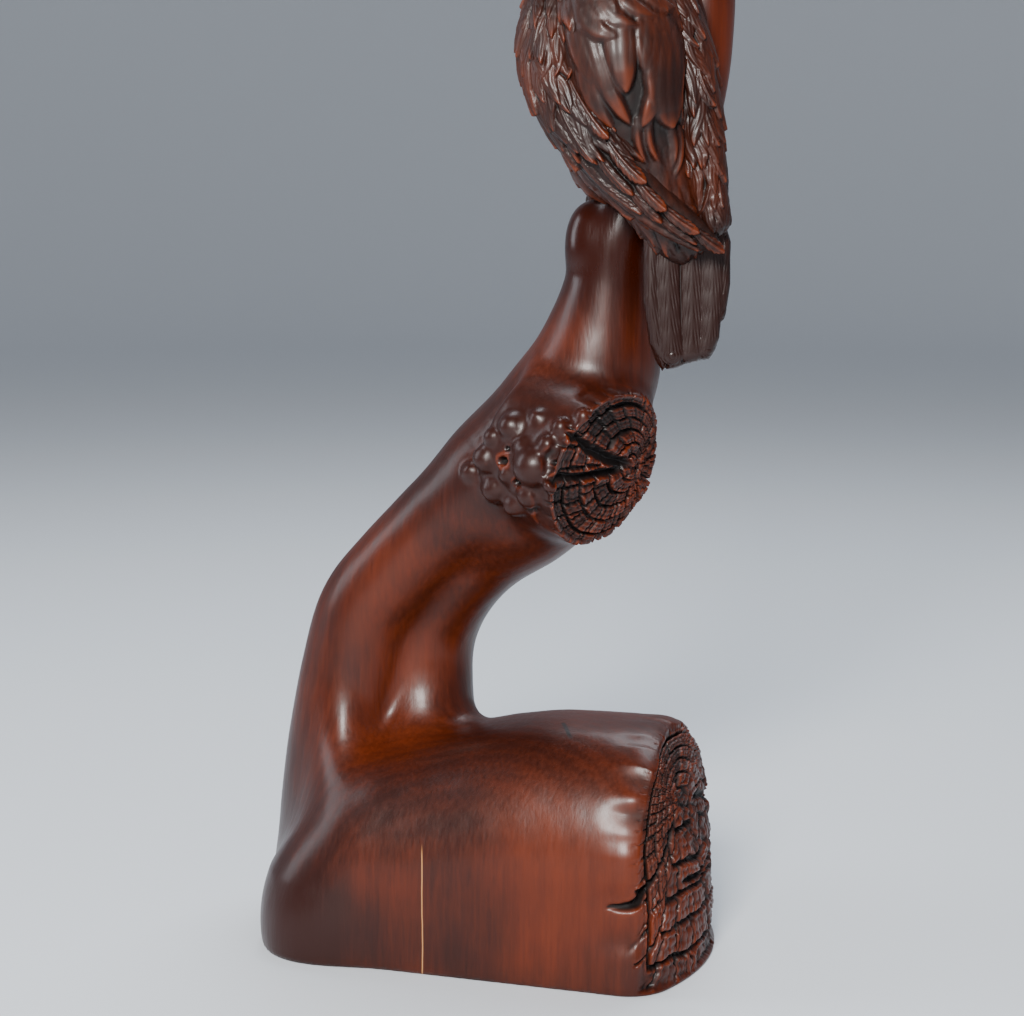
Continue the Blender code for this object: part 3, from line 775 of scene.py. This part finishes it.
def lock_relief(along, aside, length, half, kind, seed):
    """Outline and surface of one lock: how much of its height each point has, and the fine cuts in it."""
    u = np.clip(along / length, 0.0, 1.0)
    reach = np.abs(aside)
    soft, rising, blunt = 0.42, 0.9, 0.0
    if kind in ("feather", "vane"):
        if kind == "feather":
            outline = half * np.minimum(1.0, 0.5 + 1.1 * u)
            outline = outline * np.sqrt(1.0 - np.clip((u - 0.74) / 0.265, 0.0, 1.0) ** 2)
            slant, pitch, deep = 2.6, 2.1, 0.20
        else:
            outline = half * (1.0 - 0.12 * u) * np.sqrt(1.0 - np.clip((u - 0.95) / 0.052, 0.0, 1.0) ** 2)
            slant, pitch, deep = 9.0, 6.5, 0.17
        groove = (0.5 - 0.5 * np.cos(2 * math.pi * ((along - slant * reach) / pitch + seed * 7.0))) ** 2
        fine = -deep * groove * ease(reach, 0.1, 0.5) * (0.6 + 0.4 * np.sin(along * 1.1 + seed * 9.0))
        if kind == "feather":
            fine += 0.12 * (1.0 - ease(reach, 0.15, 0.45)) - 0.16 * np.exp(-((reach - 0.55) / 0.18) ** 2)
            outline = outline * (1.0 - 0.10 * groove * (reach > half * 0.5))
    elif kind == "hair":
        outline = half * np.sin(math.pi * np.clip(0.22 + 0.78 * u, 0.0, 1.0)) ** 0.8
        strand = aside / 1.05 * (1.0 + 0.3 * u) + 0.30 * np.sin(9.0 * u + seed * 6.0) + seed * 5.0
        fine = -0.09 * (0.5 - 0.5 * np.cos(2 * math.pi * strand)) ** 1.2
    else:
        outline = 1.3 * half * np.sqrt(np.clip(1.0 - np.abs(1.45 * u - 0.45) ** 2.4, 0.0, 1.0))
        fine = -0.10 * (0.5 - 0.5 * np.cos(2 * math.pi * (aside / 2.4 + 0.5 * u + seed))) ** 2
        soft, rising, blunt = 1.7, 0.6, 0.35
    inside = outline - reach
    share = (0.15 + 0.85 * u ** rising) * ease(inside, -0.05, soft) * (1.0 - blunt * ease(u, 0.72, 1.0))
    fall = 0.50 if kind == "vane" else 0.40
    crown = 1.0 - fall * np.clip(reach / np.maximum(outline, 0.3), 0.0, 1.0) ** 2
    return share * crown, fine * ease(inside, 0.0, 0.5)


def fledge(mesh, locks, base):
    """Raises overlapping locks on a mesh. Each rises towards its tip. The highest one wins, and smooth ones
    melt into what they lie on."""
    points, normals, edges = read_mesh(mesh)
    height = base(points)
    fine_cut = np.zeros(len(points))
    for number, (path, half, rise, kind) in enumerate(locks):
        middle = path.mean(axis=0)
        reach = np.linalg.norm(path - middle, axis=1).max() + half * 1.2
        near = np.flatnonzero(np.einsum("ij,ij->i", points - middle, points - middle) < reach ** 2)
        if len(near):
            along, aside, length = follow(points[near], normals[near], path)
            share, fine = lock_relief(along, aside, length, half, kind, number * 0.37 % 1.0)
            raised = rise * share - 0.9
            higher = (raised > height[near]) & (share > 0.0)
            if kind == "smooth":
                melted = 0.75 * raised - 3.0 * (1.0 - ease(share, 0.0, 0.12))
                height[near] = smooth_max(height[near], melted, 0.6)
            else:
                height[near[higher]] = raised[higher]
            fine_cut[near[higher]] = fine[higher]
    shape_surface(mesh, points, normals, edges, height + fine_cut, rounds=45, scale=0.85)


LOCK_CURL = 0.6


def coat(mesh, field, wanted, flow, gap, length, half, rise, seed):
    """Fine locks grown all over the wanted part of a mesh."""
    generator = np.random.default_rng(seed)
    points, _, _ = read_mesh(mesh)
    seeds = thinned(points[wanted(points)], gap, generator)
    count = len(seeds)
    paths = grown_paths(field, seeds, flow, length * generator.uniform(0.8, 1.25, count),
                        generator.uniform(-LOCK_CURL, LOCK_CURL, count))
    halves = half * generator.uniform(0.8, 1.2, count)
    rises = rise * generator.uniform(0.75, 1.25, count)
    return [(path, half_width, lift, "hair") for path, half_width, lift in zip(paths, halves, rises)]


def everywhere(points):
    return np.ones(len(points), bool)


# ---------------------------------------------------------------- pieces of wood

# Mesh sizes: the wood, the broad and the finer pieces of the bird, its feet and its eyes.
WOOD_STEP = 1.18
BROAD_STEP = 0.45
NARROW_STEP = 0.42
FOOT_STEP = 0.3
EYE_STEP = 0.22

SEAM_TILT = math.radians(28.0)
SEAM_HEIGHT = 62.6
SEAM_NORMAL = LOG_ALONG * -math.sin(SEAM_TILT) + row(0.0, 0.0, math.cos(SEAM_TILT))


def halved(mesh, name, point, normal, keep_lower):
    """One side of a mesh cut at a plane, closed there."""
    shape = bmesh.new()
    shape.from_mesh(mesh)
    made = bmesh.ops.bisect_plane(
        shape, geom=shape.verts[:] + shape.edges[:] + shape.faces[:], dist=1e-7,
        plane_co=point * UNIT, plane_no=normal, clear_outer=keep_lower, clear_inner=not keep_lower)
    rim = [item for item in made["geom_cut"] if isinstance(item, bmesh.types.BMEdge)]
    filled = bmesh.ops.contextual_create(shape, geom=rim)
    for face in filled["faces"]:
        for edge in face.edges:
            edge.smooth = False
    half = bpy.data.meshes.new(name)
    shape.to_mesh(half)
    shape.free()
    return half


def show(name, mesh, finish):
    """Puts a piece on the carving in place of the node of the same name."""
    mesh.name = name
    mesh.materials.clear()
    mesh.materials.append(finish)
    for face in mesh.polygons:
        face.use_smooth = True
    piece = bpy.data.objects.new("carved_" + name, mesh)
    bpy.context.scene.collection.objects.link(piece)
    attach(piece, "root")
    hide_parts(name)
    return piece


# ---------------------------------------------------------------- finishes

class Wire:
    """A socket of a finish's node tree. Python's operators on it add Math nodes."""

    def __init__(self, finish, socket):
        self.finish = finish
        self.socket = socket

    def __add__(self, other):
        return self.finish.maths("ADD", self, other)

    def __sub__(self, other):
        return self.finish.maths("SUBTRACT", self, other)

    def __rsub__(self, other):
        return self.finish.maths("SUBTRACT", other, self)

    def __mul__(self, other):
        return self.finish.maths("MULTIPLY", self, other)

    __radd__ = __add__
    __rmul__ = __mul__


class Finish:
    """A material whose nodes are added one expression at a time."""

    def __init__(self, name):
        self.material = bpy.data.materials.new(name)
        self.material.use_nodes = True
        self.tree = self.material.node_tree
        self.tree.nodes.clear()

    def node(self, kind, settings=None, inputs=None, output=0):
        """Adds a node: its settings first, then its sockets' values or links."""
        made = self.tree.nodes.new("ShaderNode" + kind)
        for key, value in (settings or {}).items():
            setattr(made, key, value)
        for key, value in (inputs or {}).items():
            if isinstance(value, Wire):
                self.tree.links.new(value.socket, made.inputs[key])
            else:
                made.inputs[key].default_value = value
        return Wire(self, made.outputs[output]) if made.outputs else None

    def maths(self, operation, first, second):
        return self.node("Math", {"operation": operation}, {0: first, 1: second})

    def blend(self, share, first, second):
        return self.node("Mix", {"data_type": "RGBA"}, {0: share, 6: first, 7: second}, output=2)

    def mark(self, name):
        return self.node("Attribute", {"attribute_name": name}, output=2)

    def split(self, vector):
        """A vector's x, y and z."""
        parts = self.node("SeparateXYZ", inputs={0: vector}).socket.node
        return [Wire(self, output) for output in parts.outputs]

    def step(self, value, low, high):
        return self.node("MapRange", {"interpolation_type": "SMOOTHSTEP"},
                         {"Value": value, "From Min": low, "From Max": high})

    def surface(self, **sockets):
        """The shader itself, joined to the material's output."""
        named = {key.replace("_", " ").title().replace("Ior", "IOR"): value for key, value in sockets.items()}
        shader = self.node("BsdfPrincipled", inputs=named)
        self.node("OutputMaterial", inputs={"Surface": shader})
        return self.material


def tint(red, green, blue):
    return (red, green, blue, 1.0)


def waxed_wood(name, deep, body, bright, gloss, spread, shadow_heights, flaws=False):
    """Stained wood under wax: fine upright grain, rubbed edges, and hollows and cuts darkened as painted
    shade, with some wax gathered in the hollows. spread is the range of tone in which body turns to bright.
    The painted shadow grows deeper between the two heights given for it: the bird's shadow on the trunk, the
    wing's shadow on the tail. flaws adds the log's pale hairline crack and a short dark score on its top.
    Places are in metres."""
    wood = Finish(name)
    place = wood.node("TexCoord", output=3)
    stretched = wood.node("Mapping", inputs={"Vector": place, "Scale": (900.0, 900.0, 60.0)})
    fibre = wood.node("TexNoise", inputs={"Vector": stretched, "Scale": 1.0, "Detail": 4.0})
    patches = wood.node("TexNoise", inputs={"Vector": place, "Scale": 30.0, "Detail": 3.0})
    clouds = wood.node("TexNoise", inputs={"Vector": place, "Scale": 11.0, "Detail": 2.0})
    swirl = wood.node("Mapping", inputs={"Vector": place, "Location": (0.03, 0.09, 0.0),
                                         "Rotation": (0.12, -0.2, 0.0), "Scale": (1.0, 1.0, 0.18)})
    rings = wood.node("TexWave", {"wave_type": "RINGS", "rings_direction": "Z"},
                      {"Vector": swirl, "Scale": 95.0, "Distortion": 3.0, "Detail": 2.0,
                       "Detail Scale": 12.0})
    cut = wood.mark("cut")
    hollow = wood.mark("hollow")
    tone = fibre * 0.24 + patches * 0.7 + clouds * 1.2 + rings * 0.06 - 0.64
    x, y, z = wood.split(place)
    # Painted shadow between the given heights, fading out above the bird's feet: the bird's shadow on the
    # trunk's knob, the wing's shadow over the tail. It also lowers the roughness there.
    painted_shadow = wood.step(z, *shadow_heights) * (1.0 - wood.step(z, 0.195, 0.225)) * 0.5
    # Painted shade from below: the wood turns darker towards the bottom, over the lowest few centimetres.
    foot = (1.0 - wood.step(z, 0.0, 0.045)) * 0.16
    colour = wood.blend(wood.step(tone - painted_shadow - foot, *spread), body, bright)
    # Raised edges turn lighter as rubbed wear. Narrow hollows turn darker: painted shade, with some wax
    # gathered there.
    colour = wood.blend(wood.step(hollow * -1.0, 0.15, 0.8) * 0.75, colour, bright)
    colour = wood.blend(wood.step(hollow, 0.1, 0.75) * 0.9, colour, deep)
    # Painted shade: cuts darken with their depth, in cracks, ring grooves, pits and the grooves of feathers
    # and locks.
    colour = wood.blend(wood.step(cut, 0.15, 0.75), colour, deep)
    if flaws:
        wander = patches * 0.0016 + x + 0.0186
        line = 1.0 - wood.step(wood.maths("ABSOLUTE", wander, 0.0), 0.00008, 0.00022)
        front = wood.step(y * -1.0, 0.03, 0.032) * (1.0 - wood.step(z, 0.030, 0.034))
        colour = wood.blend(line * front * 0.8, colour, tint(0.50, 0.24, 0.09))
        score = x - y * -0.2 - 0.0118
        line = 1.0 - wood.step(wood.maths("ABSOLUTE", score, 0.0), 0.0003, 0.0007)
        top = wood.step(z, 0.0585, 0.0595) * (1.0 - wood.step(z, 0.068, 0.07))
        ends = wood.step(y, -0.032, -0.031) * (1.0 - wood.step(y, -0.021, -0.020))
        colour = wood.blend(line * top * ends, colour, deep)
    rough = gloss + fibre * 0.16 + wood.step(cut, 0.1, 0.6) * 0.25 - painted_shadow * 0.30
    bump = wood.node("Bump", inputs={"Height": fibre + rings * 0.3, "Strength": 0.12, "Distance": 0.0004})
    return wood.surface(base_color=colour, roughness=rough, normal=bump, coat_weight=0.10,
                        coat_roughness=0.18, specular_ior_level=0.30)


# ---------------------------------------------------------------- the carving

# The stained wood's painted shadow is the bird's shadow on the trunk, around the knob under the bird.
stained = waxed_wood("stained_wood", tint(0.0035, 0.0009, 0.0005), tint(0.021, 0.0027, 0.0005),
                     tint(0.118, 0.0158, 0.0012), 0.31, spread=(0.2, 0.85),
                     shadow_heights=(0.155, 0.185), flaws=True)

def near_carved_detail(points):
    return near_end_grain(points) | near_burl(points)


wood = grown_mesh("wood", wood_field, (-66, -60, -3), (64, 50, 304), WOOD_STEP,
                  fine=(near_carved_detail, on_end_grain))
carve(wood, wood_depth)
for half, lower in (("log_base", True), ("trunk", False)):
    show(half, halved(wood, half, row(0.0, 0.0, SEAM_HEIGHT), SEAM_NORMAL, lower), stained)


# ---------------------------------------------------------------- the bird

def falling(sideways):
    """A flow straight down with a lean to one side."""
    return lambda points: np.tile(row(sideways, 0.0, -1.0), (len(points), 1))


def wing_flow(points):
    """Down over the shoulder, then along the wing towards the tail."""
    turn = ease(-points[:, 2], -228.0, -212.0)
    return np.stack([0.1 + 0.95 * turn, 0 * turn, -1.0 + 0.1 * turn], axis=1)


def head_flow(points):
    """Back from the beak over the crown and then down the nape."""
    down = ease(points[:, 0], 12.0, 30.0)
    return np.stack([1.0 - 0.9 * down, 0 * down, -0.45 - 0.55 * down], axis=1)


def of_kind(kind, rows):
    return [(*numbers, kind) for numbers in rows]


# Locks drawn one by one: start x and z, end x and z, bend, half width and height.
MANTLE_LOCKS = of_kind("smooth", [
    (18.0, 240.0, 28.0, 229.0, 0.22, 2.8, 2.4), (22.5, 243.5, 32.5, 231.5, 0.24, 2.6, 2.4),
    (27.5, 245.0, 37.0, 234.0, 0.24, 2.4, 2.2), (33.0, 245.0, 41.5, 236.0, 0.2, 2.4, 2.0),
    (17.0, 233.0, 25.0, 217.0, 0.08, 3.2, 1.7), (20.5, 231.0, 30.9, 208.8, 0.07, 2.5, 2.1),
    (27.0, 237.0, 29.5, 216.0, 0.02, 3.6, 2.5), (34.0, 237.0, 33.6, 221.0, -0.04, 3.2, 2.1),
    (38.0, 227.0, 32.9, 208.2, -0.07, 2.8, 2.5), (41.0, 233.0, 40.6, 208.2, 0.08, 5.2, 3.0),
    (44.4, 225.0, 43.8, 209.0, 0.12, 1.1, 3.0), (19.0, 223.0, 26.5, 208.0, 0.08, 2.6, 1.6),
    (32.5, 211.0, 35.5, 199.0, 0.12, 1.4, 1.7), (35.8, 212.0, 38.5, 199.5, 0.16, 1.4, 1.9),
    (39.0, 212.0, 40.6, 198.5, -0.12, 1.4, 1.7), (42.5, 209.0, 41.0, 196.5, -0.1, 1.4, 1.8),
]) + of_kind("hair", [
    (35.5, 202.0, 42.5, 190.0, 0.08, 1.8, 1.4), (39.6, 202.0, 44.5, 189.0, 0.05, 1.7, 1.4),
    (43.0, 203.0, 45.6, 190.0, 0.0, 1.6, 1.4),
])
LEFT_WING_LOCKS = of_kind("hair", [
    (8.0, 232.0, 9.4, 219.0, -0.22, 1.5, 1.4), (10.2, 234.0, 12.6, 219.4, -0.2, 1.7, 1.5),
    (12.8, 235.0, 15.6, 219.0, -0.2, 1.8, 1.6), (15.0, 235.0, 19.6, 217.4, -0.2, 1.8, 1.6),
    (17.8, 234.0, 22.6, 219.0, -0.18, 1.7, 1.5), (11.0, 222.0, 16.8, 211.5, -0.15, 1.6, 1.4),
    (7.4, 222.0, 12.6, 211.0, -0.15, 1.5, 1.3),
]) + of_kind("feather", [
    (19.6, 219.6, 27.0, 207.4, 0.04, 1.7, 1.8), (16.8, 219.4, 25.2, 205.8, 0.04, 2.0, 2.9),
    (24.4, 207.6, 34.0, 195.6, 0.05, 2.1, 2.9), (31.0, 198.4, 39.0, 189.4, 0.05, 1.9, 2.6),
    (37.0, 191.8, 46.8, 184.2, 0.05, 1.8, 2.3), (44.0, 187.0, 52.8, 180.0, 0.05, 1.9, 2.0),
    (13.6, 214.0, 22.4, 200.6, 0.05, 1.7, 1.9), (20.6, 206.0, 31.4, 193.0, 0.06, 1.6, 1.6),
    (29.0, 196.4, 38.2, 186.6, 0.06, 1.5, 1.4), (36.0, 188.8, 46.6, 181.6, 0.06, 1.3, 1.2),
    (10.8, 210.0, 18.6, 198.8, 0.04, 1.6, 1.5), (17.6, 201.6, 33.4, 188.6, 0.06, 1.5, 1.2),
]) + of_kind("vane", [
    (21.0, 198.0, 47.0, 179.8, 0.07, 1.3, 0.9), (19.0, 196.0, 42.0, 179.2, 0.09, 1.3, 0.8),
])
RIGHT_WING_LOCKS = of_kind("hair", [
    (40.0, 239.0, 47.4, 227.0, 0.1, 1.8, 1.5), (43.0, 236.0, 48.2, 221.0, 0.1, 1.6, 1.4),
]) + of_kind("feather", [
    (46.0, 228.0, 50.4, 213.6, 0.06, 2.0, 1.7), (47.8, 216.0, 51.4, 204.4, 0.03, 1.8, 1.7),
    (49.0, 207.2, 52.4, 197.6, 0.03, 1.7, 1.6), (51.6, 200.0, 52.6, 190.0, 0.0, 1.4, 1.4),
    (50.0, 201.5, 47.2, 187.4, -0.06, 1.1, 1.5), (52.4, 192.4, 51.4, 184.6, 0.0, 1.2, 1.2),
])
TAIL_LOCKS = of_kind("vane", [
    (36.4, 194.0, 38.6, 147.5, 0.03, 2.6, 1.1), (40.6, 194.0, 42.6, 147.5, 0.02, 3.0, 1.6),
    (46.0, 194.0, 46.6, 147.5, 0.0, 2.9, 1.2), (50.6, 194.0, 50.0, 148.5, -0.02, 2.9, 1.4),
    (54.6, 192.0, 53.4, 152.0, -0.03, 2.2, 1.1),
])


def fine_ripple(points):
    return 0.10 * noise(points * row(1.0, 1.0, 0.4), 1.6, 3.0) + 0.3 * noise(points, 6.5, 1.0) - 1.1


def level(points):
    return 0.0 * points[:, 0] - 0.1


def beside_mantle(points):
    return (points[:, 1] > -33.0) | (points[:, 2] < 206.0) | (points[:, 2] > 240.0)


def left_shoulder(points):
    return (points[:, 2] > 211.0) | (points[:, 1] > -32.0)


def plumage(points):
    return (points[:, 0] > 15.5) & (points[:, 2] > 232.0)


def build_plumed(name, field, low, high, step, fine_below=None, coated=None, rows=(), sides=(-1.0,),
                 base=fine_ripple):
    """A piece of the bird: its form, finer where y is under fine_below, the locks grown over its coated part
    and then those drawn on its sides."""
    fine = () if fine_below is None else (lambda points: points[:, 1] < fine_below,)
    mesh = grown_mesh(name, field, low, high, step, fine)
    locks = coat(mesh, field, *coated) if coated else []
    for side in sides:
        for start_x, start_z, end_x, end_z, bend, half, rise, kind in rows:
            path = drawn(field, (start_x, start_z), (end_x, end_z), bend, side)
            locks.append((path, half, rise, kind))
    fledge(mesh, locks, base)
    show(name, mesh, feathered)


def build_foot(name, ankle):
    limbs = toes(ankle)

    def foot_field(points):
        foot = np.linalg.norm(points - row(*ankle), axis=1) - ANKLE_RADIUS
        for stations in limbs:
            foot = smooth_min(foot, limb(points, stations), 0.7)
        return foot

    low = (ankle[0] - 8, ankle[1] - 8, ankle[2] - 9)
    high = (ankle[0] + 8, ankle[1] + 12, ankle[2] + 5)
    mesh = grown_mesh(name, foot_field, low, high, FOOT_STEP)

    def scutes(points, normals):
        away = np.linalg.norm(points - row(*ankle), axis=1)
        ring = 0.5 - 0.5 * np.cos(2 * math.pi * away / 1.05)
        return 0.20 * ring ** 3 * ease(away, 2.0, 3.0) * (1.0 - ease(away, 7.4, 8.2))

    carve(mesh, scutes)
    show(name, mesh, feathered)


def polished_bead(name, middle, look):
    """Black glass with a dim brown iris, finely mottled."""
    bead = Finish(name)
    place = bead.node("TexCoord", output=3)
    outwards = bead.node("VectorMath", {"operation": "SUBTRACT"}, {0: place, 1: tuple(middle * UNIT)})
    facing = bead.node("VectorMath", {"operation": "DOT_PRODUCT"},
                       {0: outwards, 1: tuple(look / (EYE_RADIUS * UNIT))}, output=1)
    streaks = bead.node("TexNoise", inputs={"Vector": outwards, "Scale": 2600.0, "Detail": 2.0})
    iris = bead.step(facing, 0.35, 0.50) * (1.0 - bead.step(facing, 0.80, 0.83))
    colour = bead.blend(iris * streaks, tint(0.006, 0.005, 0.005), tint(0.070, 0.026, 0.008))
    return bead.surface(base_color=colour, roughness=streaks * 0.06 + 0.05, coat_weight=0.6)


def build_eye(name, side):
    """A round bead with a faint ring cut round its pupil."""
    middle = EYE_PLACE + row(0.0, side * EYE_SPREAD, 0.0)
    look = unit(row(-0.45, side, 0.0))

    def eye_field(points):
        return np.linalg.norm(points - middle, axis=1) - EYE_RADIUS

    mesh = grown_mesh(name, eye_field, tuple(middle - 3), tuple(middle + 3), EYE_STEP)

    def pupil(points, normals):
        off_axis = np.arccos(np.clip(normals @ look, -1.0, 1.0))
        return 0.07 * np.exp(-((off_axis - 0.62) / 0.09) ** 2)

    carve(mesh, pupil)
    show(name, mesh, polished_bead(name + "_glass", middle, look))


def plain_dowel(peg):
    """Pale unstained wood with its pores along the peg."""
    points = np.array([corner.co[:] for corner in peg.data.vertices])
    lengthwise = np.linalg.svd(points - points.mean(axis=0), full_matrices=False)[2][0]
    turn = Vector(lengthwise).to_track_quat("Z", "Y").to_euler()
    dowel = Finish(peg.name + "_wood")
    place = dowel.node("TexCoord", output=3)
    pores = dowel.node("Mapping", {"vector_type": "TEXTURE"},
                       {"Vector": place, "Rotation": tuple(turn), "Scale": (0.0007, 0.0007, 0.012)})
    grain = dowel.node("TexNoise", inputs={"Vector": pores, "Scale": 1.0, "Detail": 3.0})
    patches = dowel.node("TexNoise", inputs={"Vector": place, "Scale": 160.0, "Detail": 2.0})
    colour = dowel.blend(dowel.step(grain * 0.7 + patches * 0.3, 0.35, 0.65),
                         tint(0.34, 0.19, 0.075), tint(0.56, 0.38, 0.19))
    bump = dowel.node("Bump", inputs={"Height": grain, "Strength": 0.2, "Distance": 0.0002})
    return dowel.surface(base_color=colour, roughness=grain * 0.2 + 0.5, normal=bump)


def finish_pegs(*names):
    """The dowels keep their own form and get a wood of their own."""
    for name in names:
        peg = bpy.data.objects[name]
        peg.data.materials.clear()
        peg.data.materials.append(plain_dowel(peg))


# The feathered wood's painted shadow deepens downwards, for the wing's shadow over the tail.
feathered = waxed_wood("feather_wood", tint(0.0025, 0.0007, 0.0004), tint(0.0140, 0.0024, 0.0007),
                       tint(0.118, 0.018, 0.0018), 0.42, spread=(0.40, 1.00), shadow_heights=(0.196, 0.150))
# coated: where, its flow, and the locks' gap, length, half width, height and seed.
build_plumed("bird_body", body_field, (2, -52, 168), (56, -2, 264), BROAD_STEP, rows=MANTLE_LOCKS,
             coated=(beside_mantle, falling(0.25), 4.8, 13.0, 2.5, 1.5, 21))
build_plumed("left_wing", left_wing_field, (0, -48, 174), (60, -16, 252), BROAD_STEP, -31.0,
             coated=(left_shoulder, wing_flow, 4.6, 13.0, 2.1, 1.5, 5), rows=LEFT_WING_LOCKS)
build_plumed("right_wing", right_wing_field, (30, -46, 180), (60, -16, 250), NARROW_STEP, -30.0,
             coated=(everywhere, falling(0.22), 4.8, 12.0, 2.2, 1.5, 9), rows=RIGHT_WING_LOCKS)
build_plumed("tail", tail_field, (28, -38, 146), (62, -20, 196), NARROW_STEP, -31.0, rows=TAIL_LOCKS,
             sides=(-1.0, 1.0))
build_plumed("bird_head", head_field, (0, -46, 220), (44, -8, 272), NARROW_STEP, base=level,
             coated=(plumage, head_flow, 2.2, 6.0, 1.15, 0.6, 13))
build_foot("left_foot", (24.4, -11.6, 193.2))
build_foot("right_foot", (29.5, -12.5, 200.5))
build_eye("left_eye", -1.0)
build_eye("right_eye", 1.0)
finish_pegs("trunk_peg_1", "trunk_peg_2", "body_peg_upper", "body_peg_lower", "head_peg",
            "left_wing_peg", "right_wing_peg", "tail_peg")


# ---------------------------------------------------------------- stage, light and camera

FLOOR_RADIUS = 2.2
SWEEP = 0.8
SWEEP_STEPS = 12
WALL_TOP = 3.4


def build_stage():
    """A pale round floor that curves up into a plain backdrop all round."""
    profile = [(0.0, 0.0), (FLOOR_RADIUS, 0.0)]
    for step in range(1, SWEEP_STEPS + 1):
        turn = math.pi / 2 * step / SWEEP_STEPS
        profile.append((FLOOR_RADIUS + SWEEP * math.sin(turn), SWEEP - SWEEP * math.cos(turn)))
    profile.append((FLOOR_RADIUS + SWEEP, WALL_TOP))
    turns = 96
    points, faces = [], []
    for step in range(turns):
        angle = 2 * math.pi * step / turns
        points += [(radius * math.cos(angle), radius * math.sin(angle), height) for radius, height in profile]
        here, there = step * len(profile), (step + 1) % turns * len(profile)
        faces += [(here + i, there + i, there + i + 1, here + i + 1) for i in range(len(profile) - 1)]
    mesh = bpy.data.meshes.new("stage")
    mesh.from_pydata(points, [], faces)
    shape = bmesh.new()
    shape.from_mesh(mesh)
    bmesh.ops.remove_doubles(shape, verts=shape.verts, dist=1e-5)
    bmesh.ops.recalc_face_normals(shape, faces=shape.faces)
    shape.to_mesh(mesh)
    shape.free()
    pale = Finish("pale_stage")
    speck = pale.node("TexNoise", inputs={"Scale": 3.0, "Detail": 2.0})
    paper = pale.blend(speck, tint(0.60, 0.62, 0.65), tint(0.64, 0.66, 0.69))
    mesh.materials.append(pale.surface(base_color=paper, roughness=0.85, emission_color=tint(0.8, 0.88, 1.0),
                                       emission_strength=0.10))
    for face in mesh.polygons:
        face.use_smooth = True
    floor = bpy.data.objects.new("stage", mesh)
    bpy.context.scene.collection.objects.link(floor)


LIT_MIDDLE = Vector((0.0, 0.0, 0.14))
WARM = (1.0, 0.98, 0.95)
COOL = (0.86, 0.93, 1.0)


def soft_light(name, place, size, watts, colour):
    lamp = bpy.data.lights.new(name, "AREA")
    lamp.shape = "RECTANGLE"
    lamp.size, lamp.size_y = size
    lamp.energy = watts
    lamp.color = colour
    holder = bpy.data.objects.new(name, lamp)
    holder.location = place
    holder.rotation_euler = (LIT_MIDDLE - Vector(place)).to_track_quat("-Z", "Y").to_euler()
    bpy.context.scene.collection.objects.link(holder)


LENS = 73.8
CAMERA_DIP = math.radians(8.48)


def build_camera():
    camera = bpy.data.cameras.new("camera")
    camera.sensor_width = 36.0
    camera.lens = LENS
    holder = bpy.data.objects.new("camera", camera)
    holder.location = (0.003, -0.539, 0.193)
    holder.rotation_euler = (math.pi / 2 - CAMERA_DIP, 0.0, 0.0)
    bpy.context.scene.collection.objects.link(holder)
    bpy.context.scene.camera = holder


def build_world():
    world = bpy.data.worlds.new("studio")
    world.use_nodes = True
    sky = world.node_tree.nodes["Background"]
    sky.inputs["Color"].default_value = tint(0.80, 0.86, 0.95)
    sky.inputs["Strength"].default_value = 0.12
    bpy.context.scene.world = world


build_stage()
soft_light("key", (-0.16, -0.80, 0.53), (0.22, 0.26), 15.0, WARM)
soft_light("side", (-0.75, 0.05, 0.45), (0.30, 0.60), 3.0, COOL)
soft_light("top", (0.15, 0.35, 0.85), (0.6, 0.5), 7.0, COOL)
build_world()
build_camera()
